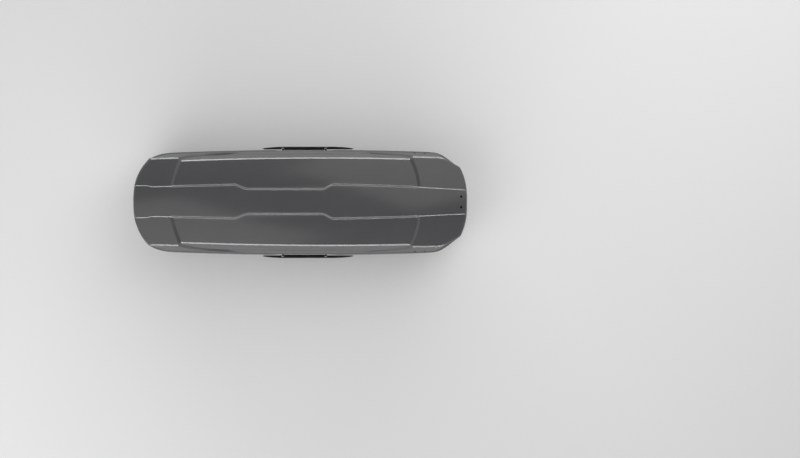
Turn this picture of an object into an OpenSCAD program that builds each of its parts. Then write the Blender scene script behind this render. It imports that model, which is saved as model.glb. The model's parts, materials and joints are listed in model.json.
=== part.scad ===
// Roof cargo box with a lid that opens from either side.
// Millimetres. X runs forward, Y to the left, Z up. The underside of the keel is z = 0.

/* [Shell] */
// Length of the lid over its lip
box_length = 1900; // [1840:10:1960]
// Width of the lid over its lip
lid_width = 600; // [590:2:620]
// Height of the spine at its highest point
top_z = 425; // [400:1:440]
// Height of the spine above the end caps
spine_raise = 4; // [2:0.5:6]
// Depth of the middle panel below the end caps
panel_recess = 9; // [5:0.5:12]
// Wall of the lid
lid_wall = 3; // [2.5:0.1:3.5]
// Wall of the base tray
tray_wall = 3.5; // [3:0.1:4]

/* [Rim] */
// Lower edge of the lid's lip
lip_z = 106; // [104:0.5:107]
// Upper face of the base flange
flange_z = 114.5; // [113:0.5:115]

/* [Hinges] */
// Distance of each hinge axis from the middle
hinge_y = 262; // [260:0.5:264]
// Height of the hinge axes
hinge_z = 124; // [123.5:0.1:124.5]
// Distance of the hinge stations from the middle
hinge_x = 680; // [660:5:690]
// Radius of the hinge pins
pin_r = 4; // [3.5:0.1:4.2]
// Running clearance of a pin in its bore
fit = 0.05; // [0.03:0.01:0.09]

/* [Latches] */
// Travel of a latch bar
latch_travel = 18; // [18:0.5:20]
// Position of the lock along the box
lock_x = 60; // [40:5:80]
// Height of the lock's axis
lock_z = 58; // [54:1:58]

/* [Lifters] */
// Distance of the lower lifter pivots from the middle
lift_y = 184; // [176:1:190]
// Height of the lower lifter pivots
lift_z = 66; // [60:1:70]
// Position of the inner pair of lifters
lift_x = 728; // [726:1:732]
// Radius of the lifter tubes
tube_r = 10; // [9:0.5:11]

/* [Clamps] */
// Position of the rear clamps
clamp_rear = -342; // [-380:1:-320]
// Position of the front clamps
clamp_front = 388; // [360:1:420]
// Distance of the clamps from the middle
clamp_y = 180; // [176:1:186]
// Room between the claws when open
bar_room = 84; // [70:1:86]
// Depth of a crossbar between keel and claw
bar_depth = 30; // [20:1:34]
// Travel of a clamp along its slot, each way
clamp_slide = 60; // [40:5:60]

/* [Hidden] */
$fn = 48;
kx = box_length / 1900;
ky = lid_width / 600;
// Piece to draw
shell_grey = [0.34, 0.35, 0.36];
black = [0.06, 0.06, 0.07];
tray_grey = [0.12, 0.12, 0.13];
steel = [0.7, 0.71, 0.73];
alloy = [0.62, 0.63, 0.65];
rubber = [0.03, 0.03, 0.03];

// Shape of the lid, as functions on a 1900 by 600 plan

function mix(a, b, t) = a + (b - a) * t;
function smin(a, b, k) = -k * ln(exp(-a / k) + exp(-b / k));
function ramp(x, a, b) = min(1, max(0, (x - a) / (b - a)));
// Half width of the lip
function rim_side(x) = (300 - 2.58e-5 * pow(x - 50, 2))
    * (x < -700 ? pow(max(0, 1 - pow((-700 - x) / 250, 2.7)), 1 / 2.7) : 1);
function rim_y(x) = smin(rim_side(x), 191 + 0.754 * (910 - x), 12);
// Half width of the shoulder, on the end caps and on the middle panel
function cap_y(x) = smin(254.5 - 1.6e-5 * pow(x - 170, 2), 190 + 0.6 * (905 - x), 5);
function inset_y(x) = 10.9 + 0.8e-5 * pow(x - 177, 2);
// Height of the end caps' skin
function ridge(x) = top_z - spine_raise
    - (x > -150 ? 150 * pow((x + 150) / 1095, 2.4) : 70 * pow((-150 - x) / 768, 2.2));
function skin_z(x, y) = ridge(x) - 38 * pow(abs(y) / 244, 2);
// Half width of the spine
function spine_y(x) = lookup(x, [[-920, 89], [-843, 89], [-820, 82.5], [-700, 85], [-343, 93],
    [-282, 69], [146, 69], [194, 95], [560, 86], [945, 67]]);
// How far the cross lines bow from middle to shoulder
function bow(x) = lookup(x, [[-910, 89], [-709, 54], [-300, 0], [250, 0], [677, -48], [938, -40]]);
// How sharply the cross lines bend on that way
function bend(x) = lookup(x, [[-910, 2.7], [-709, 1.65], [-300, 2], [250, 2], [677, 2.7]]);
// How far the wall lines sweep from shoulder to foot
function sweep(x) = lookup(x, [[-910, 0], [-709, 390], [100, 0], [200, 0], [677, -120], [860, 0]]);
// Lift of the lip over the handles
function hand_lift(x) = min(ramp(x, -162, -111), ramp(214, x, x + 62));

breaks = [[-910, 4], [-843, 1], [-820, 4], [-717, 1], [-702, 5], [-370, 1], [-343, 1], [-282, 1],
    [-260, 2], [-150, 4], [146, 1], [165, 1], [194, 1], [233, 5], [560, 2], [669.5, 1], [684.5, 4],
    [826, 2], [855, 5], [938, 0]];
stations = [for (b = [0:len(breaks) - 2], k = [0:breaks[b][1] - 1])
    mix(breaks[b][0], breaks[b + 1][0], k / breaks[b][1]), 938];
nu = len(stations) - 1;
nh = 6;
nv = 2 * nh;
nm = 2 * (nu + nv);
function in_panel(i) = stations[i] > -710 && stations[i] < 675 ? 1 : 0;
// Distance of line j from the middle at station i, as signed half width
function line_y(x, ysh, i, j) =
    let (a = abs(j), s = spine_y(x), f = in_panel(i) ? 6 : 2.5)
    sign(j) * (a == 0 ? 0 : a == 1 ? s - f : a == 2 ? s + f
        : mix(s + f, ysh, pow((a - 2) / (nh - 2), 0.75)));
function top_pt(i, j) =
    let (xc = stations[i], xs = xc + bow(xc), ysh = cap_y(xs) - 5 - in_panel(i) * inset_y(xs),
        y = line_y(xc, ysh, i, j), x = xc + bow(xc) * pow(abs(y) / ysh, bend(xc)))
    [x, y, skin_z(x, y) + (abs(j) < 2 ? spine_raise : -panel_recess * in_panel(i))];
// Perimeter index to grid index
function edge_ij(m) = m < nu ? [m, -nh] : m < nu + nv ? [nu, m - nu - nh]
    : m < 2 * nu + nv ? [2 * nu + nv - m, nh] : [0, nh - (m - 2 * nu - nv)];
// Wall of the lid: w runs from 0 at the shoulder to 1 at the foot
function wall_y(x, w) = mix(cap_y(x) + 5, rim_y(x) - 10, w);
function wall_end(w, front) = front ? mix(945, 941, w) : mix(-918, -941, w);
function wall_bow(w, front) = front ? mix(-40, -37, w) : mix(89, 80, w);
function wall_z(x, y, w, p) = mix(skin_z(x, y) - 7 - panel_recess * p, lip_z + 42, w);
function crease(x) = mix(0.1, 0.6, ramp(x, -549, 430));
function wall_pt(m, w, rec, push) =
    let (ij = edge_ij(m), i = ij[0], j = ij[1], p = in_panel(i))
    abs(j) == nh ?
        let (xc = stations[i], xs = xc + bow(xc), a = wall_end(w, false) + wall_bow(w, false),
            b = wall_end(w, true) + wall_bow(w, true), c = mix(a, b, ramp(xs, -821, 898)),
            x = c + sweep(xc) * pow(w, 2.2), y = wall_y(x, w) + p * (push - rec * inset_y(x)))
        [x, sign(j) * y, wall_z(xs, cap_y(xs) - p * inset_y(xs), w, p)]
    : let (front = i > 0, v = top_pt(i, j)[1] / top_pt(i, nh)[1],
            e = wall_end(w, front), b = wall_bow(w, front), x = e + b * pow(abs(v), 2.7))
        [x, v * wall_y(e + b, w), wall_z(x, v * wall_y(e + b, w), w, 0)];
// Foot ring moved out by e
function foot_pt(m, e, z) = let (f = wall_pt(m, 1, 0, 0)) [f[0] * (1 + e / 941), f[1] * (1 + e / 290), z];
// Lip below the foot, as steps out and up: two ledges with a step between, gathered up over the handles
lip_rows = [[2, 28], [4.5, 27], [5.5, 25], [6.5, 13], [9, 12], [10, 10], [10, 0]];
bay_rows = [[2, 28], [4.5, 27], [5.5, 25.2], [6, 24.6], [6.3, 23.6], [6.5, 22], [6.5, 18]];
function lip_pt(m, k) =
    let (r = mix(lip_rows[k], bay_rows[k], hand_lift(foot_pt(m, 10, 0)[0])))
    foot_pt(m, r[0], lip_z + r[1]);
function ring_pt(m, k) =
    let (c = crease(stations[edge_ij(m)[0]]))
    k == 0 ? wall_pt(m, 0, 1, 0)
    : k == 1 ? wall_pt(m, c, 1, 3)
    : k == 2 ? wall_pt(m, mix(c, 0.95, 0.5), 1, 1.5)
    : k == 3 ? wall_pt(m, 0.95, 1, 0)
    : k == 4 ? wall_pt(m, 1, 0, 0)
    : lip_pt(m, k - 5);
nr = 5 + len(lip_rows);
// Inner skin from outer skin
function inner_pt(p, q) = [p[0] * (1 - lid_wall / 950), p[1] * (1 - lid_wall / 300), p[2] - lid_wall * q];
function size_up(p) = [p[0] * kx, p[1] * ky, p[2]];
// Outer face of an end cap's wall at height z
function cap_face(x, z) =
    let (w = 1 - (z - lip_z - 42) / (skin_z(x, cap_y(x)) - 7 - lip_z - 42))
    wall_y(x, min(1, max(0, w)));
// Plan of the rim
rim_steps = [-845, -820, -790, -750, -700, -660, -450, -300, -150, 0, 150, 300, 450, 600, 670, 720, 760,
    780, 800, 850];
plan_half = [for (k = [0:10]) let (v = pow(k / 10, 0.8)) [-950 + 84 * pow(v, 2.7), v * rim_y(-866)],
    for (x = rim_steps) [x, rim_y(x)],
    for (k = [8:-1:1]) let (v = pow(k / 8, 0.8)) [950 - 40 * pow(v, 2.67), v * rim_y(910)]];
// Relief of the flange at the corners, where the lip swings past it
function relief(x) = 9 * max(ramp(-x, 660, 790), ramp(x, 670, 780));
// Plan of the rim drawn in by d, with r times the relief
function plan(d, r = 0) =
    let (n = len(plan_half), a = kx * (1 - d / 950),
        half = [for (p = plan_half) [p[0] * a, p[1] * ky * (1 - (d + r * relief(p[0])) / 300)]])
    concat(half, [[950 * a, 0]], [for (k = [n - 1:-1:1]) [half[k][0], -half[k][1]]]);

module on_side(s) {
    if (s > 0) children();
    else mirror([0, 1, 0]) children();
}
module bar_x(x0, x1, r) {
    translate([x0, 0, 0]) rotate([0, 90, 0]) cylinder(r = r, h = x1 - x0);
}
module bar_y(y0, y1, r) {
    translate([0, y0, 0]) rotate([-90, 0, 0]) cylinder(r = r, h = y1 - y0);
}
module block(x0, x1, y0, y1, z0, z1) {
    translate([x0, y0, z0]) cube([x1 - x0, y1 - y0, z1 - z0]);
}
// Plate across the box, drawn in Y and Z
module slice_x(x0, x1) {
    translate([x0, 0, 0]) rotate([90, 0, 90]) linear_extrude(x1 - x0) children();
}
// Plate along the box, drawn in X and Z
module slice_y(y0, y1) {
    translate([0, y1, 0]) rotate([90, 0, 0]) linear_extrude(y1 - y0) children();
}

// Lid

module lid_shell() {
    top = [for (i = [0:nu], j = [-nh:nh]) top_pt(i, j)];
    rings = [for (k = [0:nr - 1], m = [0:nm - 1]) ring_pt(m, k)];
    outer = concat(top, rings);
    inner = concat([for (p = top) inner_pt(p, 1)],
        [for (k = [0:nr - 1], m = [0:nm - 1]) inner_pt(ring_pt(m, k), k == nr - 1 ? 0 : 1)]);
    nt = len(top);
    n = len(outer);
    function grid(i, j) = i * (nv + 1) + j + nh;
    function loop(k, m) = k < 0 ? grid(edge_ij(m % nm)[0], edge_ij(m % nm)[1]) : nt + k * nm + m % nm;
    skin = concat(
        [for (i = [0:nu - 1], j = [-nh:nh - 1])
            [grid(i, j), grid(i, j + 1), grid(i + 1, j + 1), grid(i + 1, j)]],
        [for (k = [-1:nr - 2], m = [0:nm - 1])
            [loop(k, m), loop(k, m + 1), loop(k + 1, m + 1), loop(k + 1, m)]]);
    lip = [for (m = [0:nm - 1]) let (a = loop(nr - 1, m), b = loop(nr - 1, m + 1)) [a, b, b + n, a + n]];
    quads = concat(skin, [for (q = skin) [q[3] + n, q[2] + n, q[1] + n, q[0] + n]], lip);
    tris = [for (q = quads, h = [0, 1]) h == 0 ? [q[0], q[1], q[2]] : [q[0], q[2], q[3]]];
    color(shell_grey)
        polyhedron(points = [for (p = concat(outer, inner)) size_up(p)], faces = tris);
}

module rivet(h) {
    rotate_extrude($fn = 24) polygon([[0, -h], [2.4, -h], [2.4, -0.2], [5, -0.2], [4.6, 1], [3.4, 1.9],
        [1.8, 2.4], [0, 2.5]]);
}
module lid_rivets() {
    color(black) {
        for (s = [-1, 1])
            translate([911 * kx, 29.5 * s, ridge(911) + spine_raise - 0.15]) rotate([0, 17.5, 0]) rivet(7);
        for (s = [-1, 1], x = [652, 709])
            on_side(s) translate([x * kx, cap_face(x, 160) * ky, 160]) rotate([-82, 0, 0]) rivet(9);
    }
}
// Stiffening bow under the lid's skin
module lid_bow(x) {
    span = [for (k = [-8:8]) k * 24];
    function under(y) = skin_z(x, y) - lid_wall + 0.4
        + (abs(y) < spine_y(x) - 6 ? spine_raise : -panel_recess);
    slice_x(x * kx - 12, x * kx + 12) polygon(concat([for (y = span) [y * ky, under(y)]],
        [for (k = [len(span) - 1:-1:0]) [span[k] * ky, under(span[k]) - 12]]));
}
module lid_bows() {
    color(alloy) for (x = [-430, 40, 470]) lid_bow(x);
}
// Hinges, drawn for the left side

module hinge_block(x0) {
    face = function (z) cap_face(x0 / kx, z) * ky - lid_wall + 0.9;
    difference() {
        union() {
            slice_x(x0 - 34, x0 + 44)
                polygon([[face(150) - 16, 142], [face(150) - 1, 142], [face(150), 150], [face(176), 176],
                    [face(176) - 9, 178]]);
            slice_x(x0 - 16, x0 - 8)
                polygon([[hinge_y - 8, hinge_z], [hinge_y + 8, hinge_z], [hinge_y + 8, 150],
                    [hinge_y - 3, 160]]);
            translate([0, hinge_y, hinge_z]) bar_x(x0 - 16, x0 - 8, 8);
        }
        translate([0, hinge_y, hinge_z]) bar_x(x0 - 17, x0 - 7, pin_r + fit);
    }
}
module hinge_blocks(s) {
    color(black) on_side(s) for (x = [-hinge_x, hinge_x]) hinge_block(x);
}
module hinge_pins(s) {
    color(steel) on_side(s) for (x = [-hinge_x, hinge_x]) translate([0, hinge_y, hinge_z]) {
        bar_x(x - 19, x + 9, pin_r);
        bar_x(x - 19, x - 16.3, pin_r + 2.5);
    }
}
module cradles(s) {
    color(black) on_side(s) for (x = [-hinge_x, hinge_x]) difference() {
        slice_x(x - 7, x + 7) polygon([[hinge_y - 11, flange_z], [hinge_y + 8, flange_z],
            [hinge_y + 7.5, hinge_z + 2], [hinge_y - 8, hinge_z + 2]]);
        translate([0, hinge_y, hinge_z]) bar_x(x - 8, x + 8, pin_r + fit);
        block(x - 8, x + 8, hinge_y - pin_r - fit, hinge_y + pin_r + fit, hinge_z, hinge_z + 5);
    }
}

// Latches and locks, drawn for the left side

latch_in = 238;
latch_out = 243;
crank_r = latch_travel / 2 * sqrt(2);
module latch_bar(s) {
    color(steel) on_side(s) difference() {
        union() {
            block(-690, 716, latch_in, latch_out, 88, 108);
            for (x = [-hinge_x, hinge_x]) {
                block(x + 11, x + 25, latch_in, latch_out, 107, 134.5);
                block(x + 11, x + 25, latch_in, hinge_y + 3, 129.5, 134.5);
            }
            slice_y(latch_in, latch_out)
                polygon([[lock_x - 12, 89], [lock_x - 2, 56], [lock_x + 20, 56], [lock_x + 30, 89]]);
        }
        block(lock_x + latch_travel / 2 - 3.1, lock_x + latch_travel / 2 + 3.1, latch_in - 1, latch_out + 1,
            lock_z + crank_r * 0.7 - 4, lock_z + crank_r + 4);
        for (x = [-560:140:600]) translate([x + 30, 0, 98]) bar_y(latch_in - 1, latch_out + 1, 6);
    }
}
module latch_guides(s) {
    color(black) on_side(s) for (x = [-440, -150, 250, 540]) difference() {
        block(x - 14, x + 14, 231, tray_face(x, 100) - tray_wall + 0.8, 83, flange_z - tray_wall);
        block(x - 15, x + 15, latch_in - 0.5, latch_out + 0.5, 87.5, 108.5);
        block(x - 15, x + 15, 249, 254, 86, 106);
    }
}
module lock_boss(s) {
    color(black) on_side(s) translate([lock_x, 0, lock_z]) difference() {
        union() {
            bar_y(250, 268, 17.9);
            bar_y(264.5, 268, 20);
        }
        bar_y(249, 269, 11 + fit);
    }
}
module lock_barrel(s) {
    color(steel) on_side(s) translate([lock_x, 0, lock_z]) {
        difference() {
            bar_y(245.5, 268.6, 11);
            block(-1.1, 1.1, 262, 270, -5, 5);
        }
        bar_y(245.5, 249.5, 17);
        translate([latch_travel / 2, 0, latch_travel / 2]) bar_y(236.5, 246, 2.5);
    }
}

// Base

function floor_rise(x) = x > 520 ? 70 * pow((x - 520) / 397, 1.8)
    : x < -600 ? 45 * pow((-600 - x) / 317, 1.8) : 0;
// Round of the floor up into the end walls
function end_round(x) = let (t = ramp(abs(x), 860, 917)) 34 * (1 - sqrt(1 - t * t));
end_steps = [916.5, 914, 909, 902, 892, 878, 860, 830, 790, 740, 690, 640];
// Outer face of the tray's side wall
function draft_y(z) = mix(255, 267, (z - 25) / 86);
function tray_face(x, z) = min(draft_y(z), rim_y(x) * (1 - 33 / 300)) * ky;
function floor_pt(x, t) = [x * kx * (1 - t / 917), floor_rise(x) + end_round(x) + t];
module tray_form(t) {
    intersection() {
        linear_extrude(120) polygon(plan(33 + t));
        slice_y(-320, 320) polygon(concat(
            [for (x = end_steps) floor_pt(-x, t)], [floor_pt(-600, t), floor_pt(520, t), floor_pt(570, t)],
            [for (k = [len(end_steps) - 1:-1:0]) floor_pt(end_steps[k], t)],
            [[940 * kx, 140], [-940 * kx, 140]]));
        slice_x(-1000, 1000) polygon(concat(
            [for (p = tray_section(t)) p],
            [for (k = [len(tray_section(t)) - 1:-1:0]) [-tray_section(t)[k][0], tray_section(t)[k][1]]]));
    }
}
function tray_section(t) = concat([[105 - t * 0.4, t], [120 - t * 0.4, 8 + t]],
    [for (a = [0:15:75]) [(226 - t) * ky + 28 * sin(a), 8 + t + 28 * (1 - cos(a))]],
    [[(draft_y(38) - t) * ky, 38], [(draft_y(flange_z) - t) * ky, t > 0 ? flange_z + 1 : flange_z]]);
function clamp_list() = [for (x = [clamp_rear, clamp_front], s = [-1, 1]) [x, s * clamp_y]];
slot_half = bar_room / 2 + 12 + clamp_slide + 4;
module tray_holes() {
    for (c = clamp_list()) translate([c[0], c[1], 0]) block(-slot_half, slot_half, -18, 18, -5, 30);
    for (s = [-1, 1]) on_side(s) translate([lock_x, 0, lock_z]) bar_y(230, 300, 18);
}
module base_tray() {
    color(tray_grey) difference() {
        union() {
            difference() {
                tray_form(0);
                tray_form(tray_wall);
            }
            difference() {
                translate([0, 0, flange_z - tray_wall]) linear_extrude(tray_wall) polygon(plan(16, 1));
                translate([0, 0, flange_z - tray_wall - 1]) linear_extrude(tray_wall + 2)
                    polygon(plan(33 + tray_wall));
            }
            for (x = [-560, -480, -120, 0, 120])
                block(x - 6, x + 6, -95, 95, tray_wall - 0.5, tray_wall + 4);
        }
        tray_holes();
    }
}
module rim_seal() {
    color(rubber) translate([0, 0, flange_z]) linear_extrude(3) difference() {
        polygon(plan(29));
        polygon(plan(32.5));
        for (x = [-hinge_x, hinge_x]) translate([x - 21, -310]) square([30, 620]);
    }
}
module floor_rail(s) {
    y0 = clamp_y - 30;
    color(alloy) on_side(s) translate([0, 0, 8 + tray_wall]) difference() {
        union() {
            block(clamp_rear - 190, clamp_front + 180, y0, y0 + 60, 0, 3);
            for (e = [0, 56]) block(clamp_rear - 190, clamp_front + 180, y0 + e, y0 + e + 4, 2.5, 7);
        }
        for (x = [clamp_rear, clamp_front])
            block(x - slot_half, x + slot_half, clamp_y - 18, clamp_y + 18, -1, 8);
    }
}
module lifter_brackets() {
    color(steel) for (e = [-1, 1], s = [-1, 1]) {
        x = e * (lift_x + (s > 0 ? 0 : 24));
        z0 = max(8, floor_rise(x / kx)) + tray_wall;
        on_side(-s) {
            for (d = [-1, 1]) slice_x(x + d * 7.5 - 1.5, x + d * 7.5 + 1.5) polygon([[lift_y - 26, z0 + 1],
                [lift_y + 22, z0 + 1], [lift_y + 22, z0 + 6], [lift_y + 8, lift_z + 8],
                [lift_y - 8, lift_z + 8], [lift_y - 26, z0 + 6]]);
            block(x - 9, x + 9, lift_y - 26, lift_y + 22, z0 - 0.5, z0 + 4);
            translate([0, lift_y, lift_z]) bar_x(x - 11, x + 11, pin_r);
        }
    }
}
module base_screws() {
    color(steel) for (s = [-1, 1], x = [-hinge_x, hinge_x], d = [-1, 1])
        on_side(s) translate([x + d * 4, hinge_y + 3, flange_z - tray_wall - 2]) cylinder(r = 3.5, h = 2);
}

// Gas lifters, drawn along Y from the lower pivot

lift_run = hinge_y + lift_y;
lift_rise = hinge_z - lift_z;
lift_len = sqrt(lift_run * lift_run + lift_rise * lift_rise);
lift_tilt = atan2(lift_rise, lift_run);
module lifter_at(e, s) {
    x = e * (lift_x + (s > 0 ? 0 : 24));
    on_side(s) translate([x, -lift_y, lift_z]) rotate([lift_tilt, 0, 0]) children();
}
module lifter_tube(e, s) {
    color(black) lifter_at(e, s) difference() {
        union() {
            bar_x(-5, 5, 9);
            rotate([-90, 0, 0]) rotate_extrude() polygon([[0, 7], [4, 7], [4, 16], [tube_r - 1, 17],
                [tube_r, 19], [tube_r, 309], [tube_r - 2, 312], [0, 312]]);
        }
        bar_x(-6, 6, pin_r + fit);
        rotate([-90, 0, 0]) rotate_extrude() polygon([[0, 24], [tube_r - 2.5, 26], [tube_r - 2.5, 298],
            [pin_r + fit, 300], [pin_r + fit, 314], [0, 314]]);
    }
}
module lifter_rod(e, s) {
    color(steel) lifter_at(e, s) difference() {
        union() {
            rotate([-90, 0, 0]) rotate_extrude() polygon([[0, 190], [tube_r - 3, 190], [tube_r - 3, 201],
                [pin_r, 202], [pin_r, lift_len - 4.5], [0, lift_len - 4.5]]);
            translate([0, lift_len, 0]) bar_x(-5, 5, 6);
        }
        translate([0, lift_len, 0]) bar_x(-6, 6, 3);
    }
}
module lifter_sockets() {
    color(black) for (e = [-1, 1], s = [-1, 1]) {
        x = e * (lift_x + (s > 0 ? 0 : 24));
        face = function (z) cap_face(x / kx, z) * ky - lid_wall + 0.9;
        on_side(s) {
            slice_x(x + 6.5, x + 10.5) polygon([[hinge_y - 6, hinge_z], [hinge_y + 6, hinge_z],
                [face(150), 150], [face(170), 170], [face(170) - 8, 172]]);
            translate([0, hinge_y, hinge_z]) bar_x(x + 6.5, x + 10.5, 6);
        }
    }
}

// Handles, drawn for the left side

handle_z = 114;
handle_y = 304;
module handle_bezel(s) {
    color(black) on_side(s) {
        block(-105, 150, 293.9, 296.4, 104, 125.5);
        for (x = [-105, 140]) slice_x(x, x + 10)
            polygon([[295, 106], [306, 107], [309, 110], [309, 118], [306, 121], [295, 122]]);
        translate([0, handle_y, handle_z]) {
            bar_x(-96, -82, 2);
            bar_x(127, 141, 2);
        }
    }
}
blade = [[-219, 306], [-205, 310], [-160, 315], [-110, 317.5], [190, 317.5], [240, 315.5], [285, 311],
    [306, 306]];
grip = [for (k = [1:6]) blade[k]];
// Inner edge of the blade, which reaches under the lip between the cheeks of the bezel
tuck = [[292, 302.5], [136, 302.5], [134, 298.5], [-89, 298.5], [-91, 302.5], [-206, 302.5]];
module handle(s) {
    color(black) on_side(s) difference() {
        union() {
            translate([0, 0, 109.5]) linear_extrude(9) polygon(concat(blade, tuck));
            translate([0, 0, 98]) linear_extrude(13)
                polygon(concat(grip, [for (k = [5:-1:0]) [grip[k][0] * 0.985, grip[k][1] - 4]]));
            translate([0, handle_y, handle_z]) for (x = [-94.5, 115]) bar_x(x, x + 24.5, 4.4);
            for (x = [-94.5, 115]) block(x, x + 24.5, handle_y, 310, 110, 118);
        }
        translate([0, handle_y, handle_z]) for (x = [-97, 113]) bar_x(x, x + 29, 2 + fit);
        for (x = [-106, 139]) block(x - 1, x + 11.5, 300, 311.5, 100, 125);
    }
}

// Clamps, drawn at the clamp's middle

rail_top = 8 + tray_wall + 3;
screw_z = 38;
claw = 8;
module at_clamp(c) {
    translate([c[0], c[1], 0]) children();
}
module claw_form(dir) {
    r = bar_room / 2;
    low = -bar_depth - 9;
    slice_y(-14, 14) polygon([for (p = [[r, 40], [r + claw, 40], [r + claw, low + 6], [r + claw - 5, low],
        [r - 12, low], [r - 12, low + 6], [r, low + 6]]) [p[0] * dir, p[1]]]);
}
module clamp(c) {
    color(black) at_clamp(c) {
        difference() {
            translate([0, 0, rail_top + 0.3]) linear_extrude(43)
                offset(r = 6) square([134, 38], center = true);
            block(-62, 30, -16, 16, 0, 52);
            translate([0, 0, screw_z]) bar_x(25, 80, 6 + fit);
        }
        intersection() {
            claw_form(1);
            block(0, 100, -20, 20, -100, rail_top + 5);
        }
    }
}
module jaw(c) {
    color(steel) at_clamp(c) {
        difference() {
            union() {
                block(-bar_room / 2 - 16, -bar_room / 2 + 4, -15, 15, rail_top + 1.2, 50);
                intersection() {
                    claw_form(-1);
                    block(-100, 0, -20, 20, -100, 30);
                }
            }
            translate([0, 0, screw_z]) bar_x(-80, 0, 5.4);
        }
    }
}
module knob(c) {
    color(black) at_clamp(c) translate([0, 0, screw_z]) {
        bar_x(-60, 32, 5);
        bar_x(26, 76, 6);
        translate([75, 0, 0]) rotate([0, 90, 0]) linear_extrude(20) difference() {
            circle(r = 20);
            for (a = [0:60:300]) rotate(a) translate([23, 0]) circle(r = 6);
        }
    }
}
module pad(c) {
    r = bar_room / 2;
    color(rubber) at_clamp(c) block(r - 12, r - 0.2, -13, 13, -bar_depth - 3, -bar_depth);
}

fl = [clamp_front, clamp_y];
fr = [clamp_front, -clamp_y];
rl = [clamp_rear, clamp_y];
rr = [clamp_rear, -clamp_y];

base_tray();
rim_seal();
floor_rail(1);  // left_floor_rail
floor_rail(-1);  // right_floor_rail
cradles(1);  // left_cradles
cradles(-1);  // right_cradles
latch_guides(1);  // left_latch_guides
latch_guides(-1);  // right_latch_guides
lock_boss(1);  // left_lock_boss
lock_boss(-1);  // right_lock_boss
lifter_brackets();
base_screws();
hinge_pins(1);  // left_hinge_pins
lid_shell();
lid_bows();
hinge_blocks(1);  // left_hinge_blocks
hinge_blocks(-1);  // right_hinge_blocks
hinge_pins(-1);  // right_hinge_pins
lifter_sockets();
lid_rivets();
handle_bezel(1);  // left_handle_bezel
handle_bezel(-1);  // right_handle_bezel
handle(1);  // left_handle
handle(-1);  // right_handle
latch_bar(1);  // left_latch_bar
latch_bar(-1);  // right_latch_bar
lock_barrel(1);  // left_lock_barrel
lock_barrel(-1);  // right_lock_barrel
lifter_tube(1, 1);  // front_left_tube
lifter_rod(1, 1);  // front_left_rod
lifter_tube(1, -1);  // front_right_tube
lifter_rod(1, -1);  // front_right_rod
lifter_tube(-1, 1);  // rear_left_tube
lifter_rod(-1, 1);  // rear_left_rod
lifter_tube(-1, -1);  // rear_right_tube
lifter_rod(-1, -1);  // rear_right_rod
clamp(fl);  // front_left_clamp
knob(fl);  // front_left_knob
jaw(fl);  // front_left_jaw
pad(fl);  // front_left_pad
clamp(fr);  // front_right_clamp
knob(fr);  // front_right_knob
jaw(fr);  // front_right_jaw
pad(fr);  // front_right_pad
clamp(rl);  // rear_left_clamp
knob(rl);  // rear_left_knob
jaw(rl);  // rear_left_jaw
pad(rl);  // rear_left_pad
clamp(rr);  // rear_right_clamp
knob(rr);  // rear_right_knob
jaw(rr);  // rear_right_jaw
pad(rr);  // rear_right_pad
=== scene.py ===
"""Looks of a hard-shell roof cargo box that opens from either side."""

import json
import logging
import math
from dataclasses import dataclass, field
from enum import Enum
from typing import ClassVar

import bpy
import numpy as np
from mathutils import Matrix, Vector


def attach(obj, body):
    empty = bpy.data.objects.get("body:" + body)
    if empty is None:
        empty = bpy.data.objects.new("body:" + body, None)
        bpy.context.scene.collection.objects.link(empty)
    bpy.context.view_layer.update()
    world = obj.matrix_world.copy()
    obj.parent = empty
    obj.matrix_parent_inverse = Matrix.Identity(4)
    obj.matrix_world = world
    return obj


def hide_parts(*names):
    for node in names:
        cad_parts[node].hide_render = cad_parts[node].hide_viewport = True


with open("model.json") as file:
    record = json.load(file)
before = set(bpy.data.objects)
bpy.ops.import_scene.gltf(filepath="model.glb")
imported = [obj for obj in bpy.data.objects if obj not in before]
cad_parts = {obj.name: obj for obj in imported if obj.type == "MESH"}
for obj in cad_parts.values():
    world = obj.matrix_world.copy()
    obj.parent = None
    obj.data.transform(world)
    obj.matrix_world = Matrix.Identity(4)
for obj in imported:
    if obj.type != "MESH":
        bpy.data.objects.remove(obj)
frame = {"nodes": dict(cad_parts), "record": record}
LOG = logging.getLogger("roof_box")
MM = 0.001
Array = np.ndarray
Material = bpy.types.Material
Object = bpy.types.Object
Point = tuple[float, float, float]
Pair = tuple[float, float]
Faces = list[tuple[int, ...]]
Curve = tuple[tuple[float, ...], tuple[float, ...]]
Values = dict[str | int, object]


class Side(Enum):
    """The two long sides of the box."""

    LEFT = 1
    RIGHT = -1


class Axis(Enum):
    """Directions along which a pattern is stretched."""

    NONE = (1.0, 1.0, 1.0)
    ALONG_X = (0.06, 1.0, 1.0)


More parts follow.
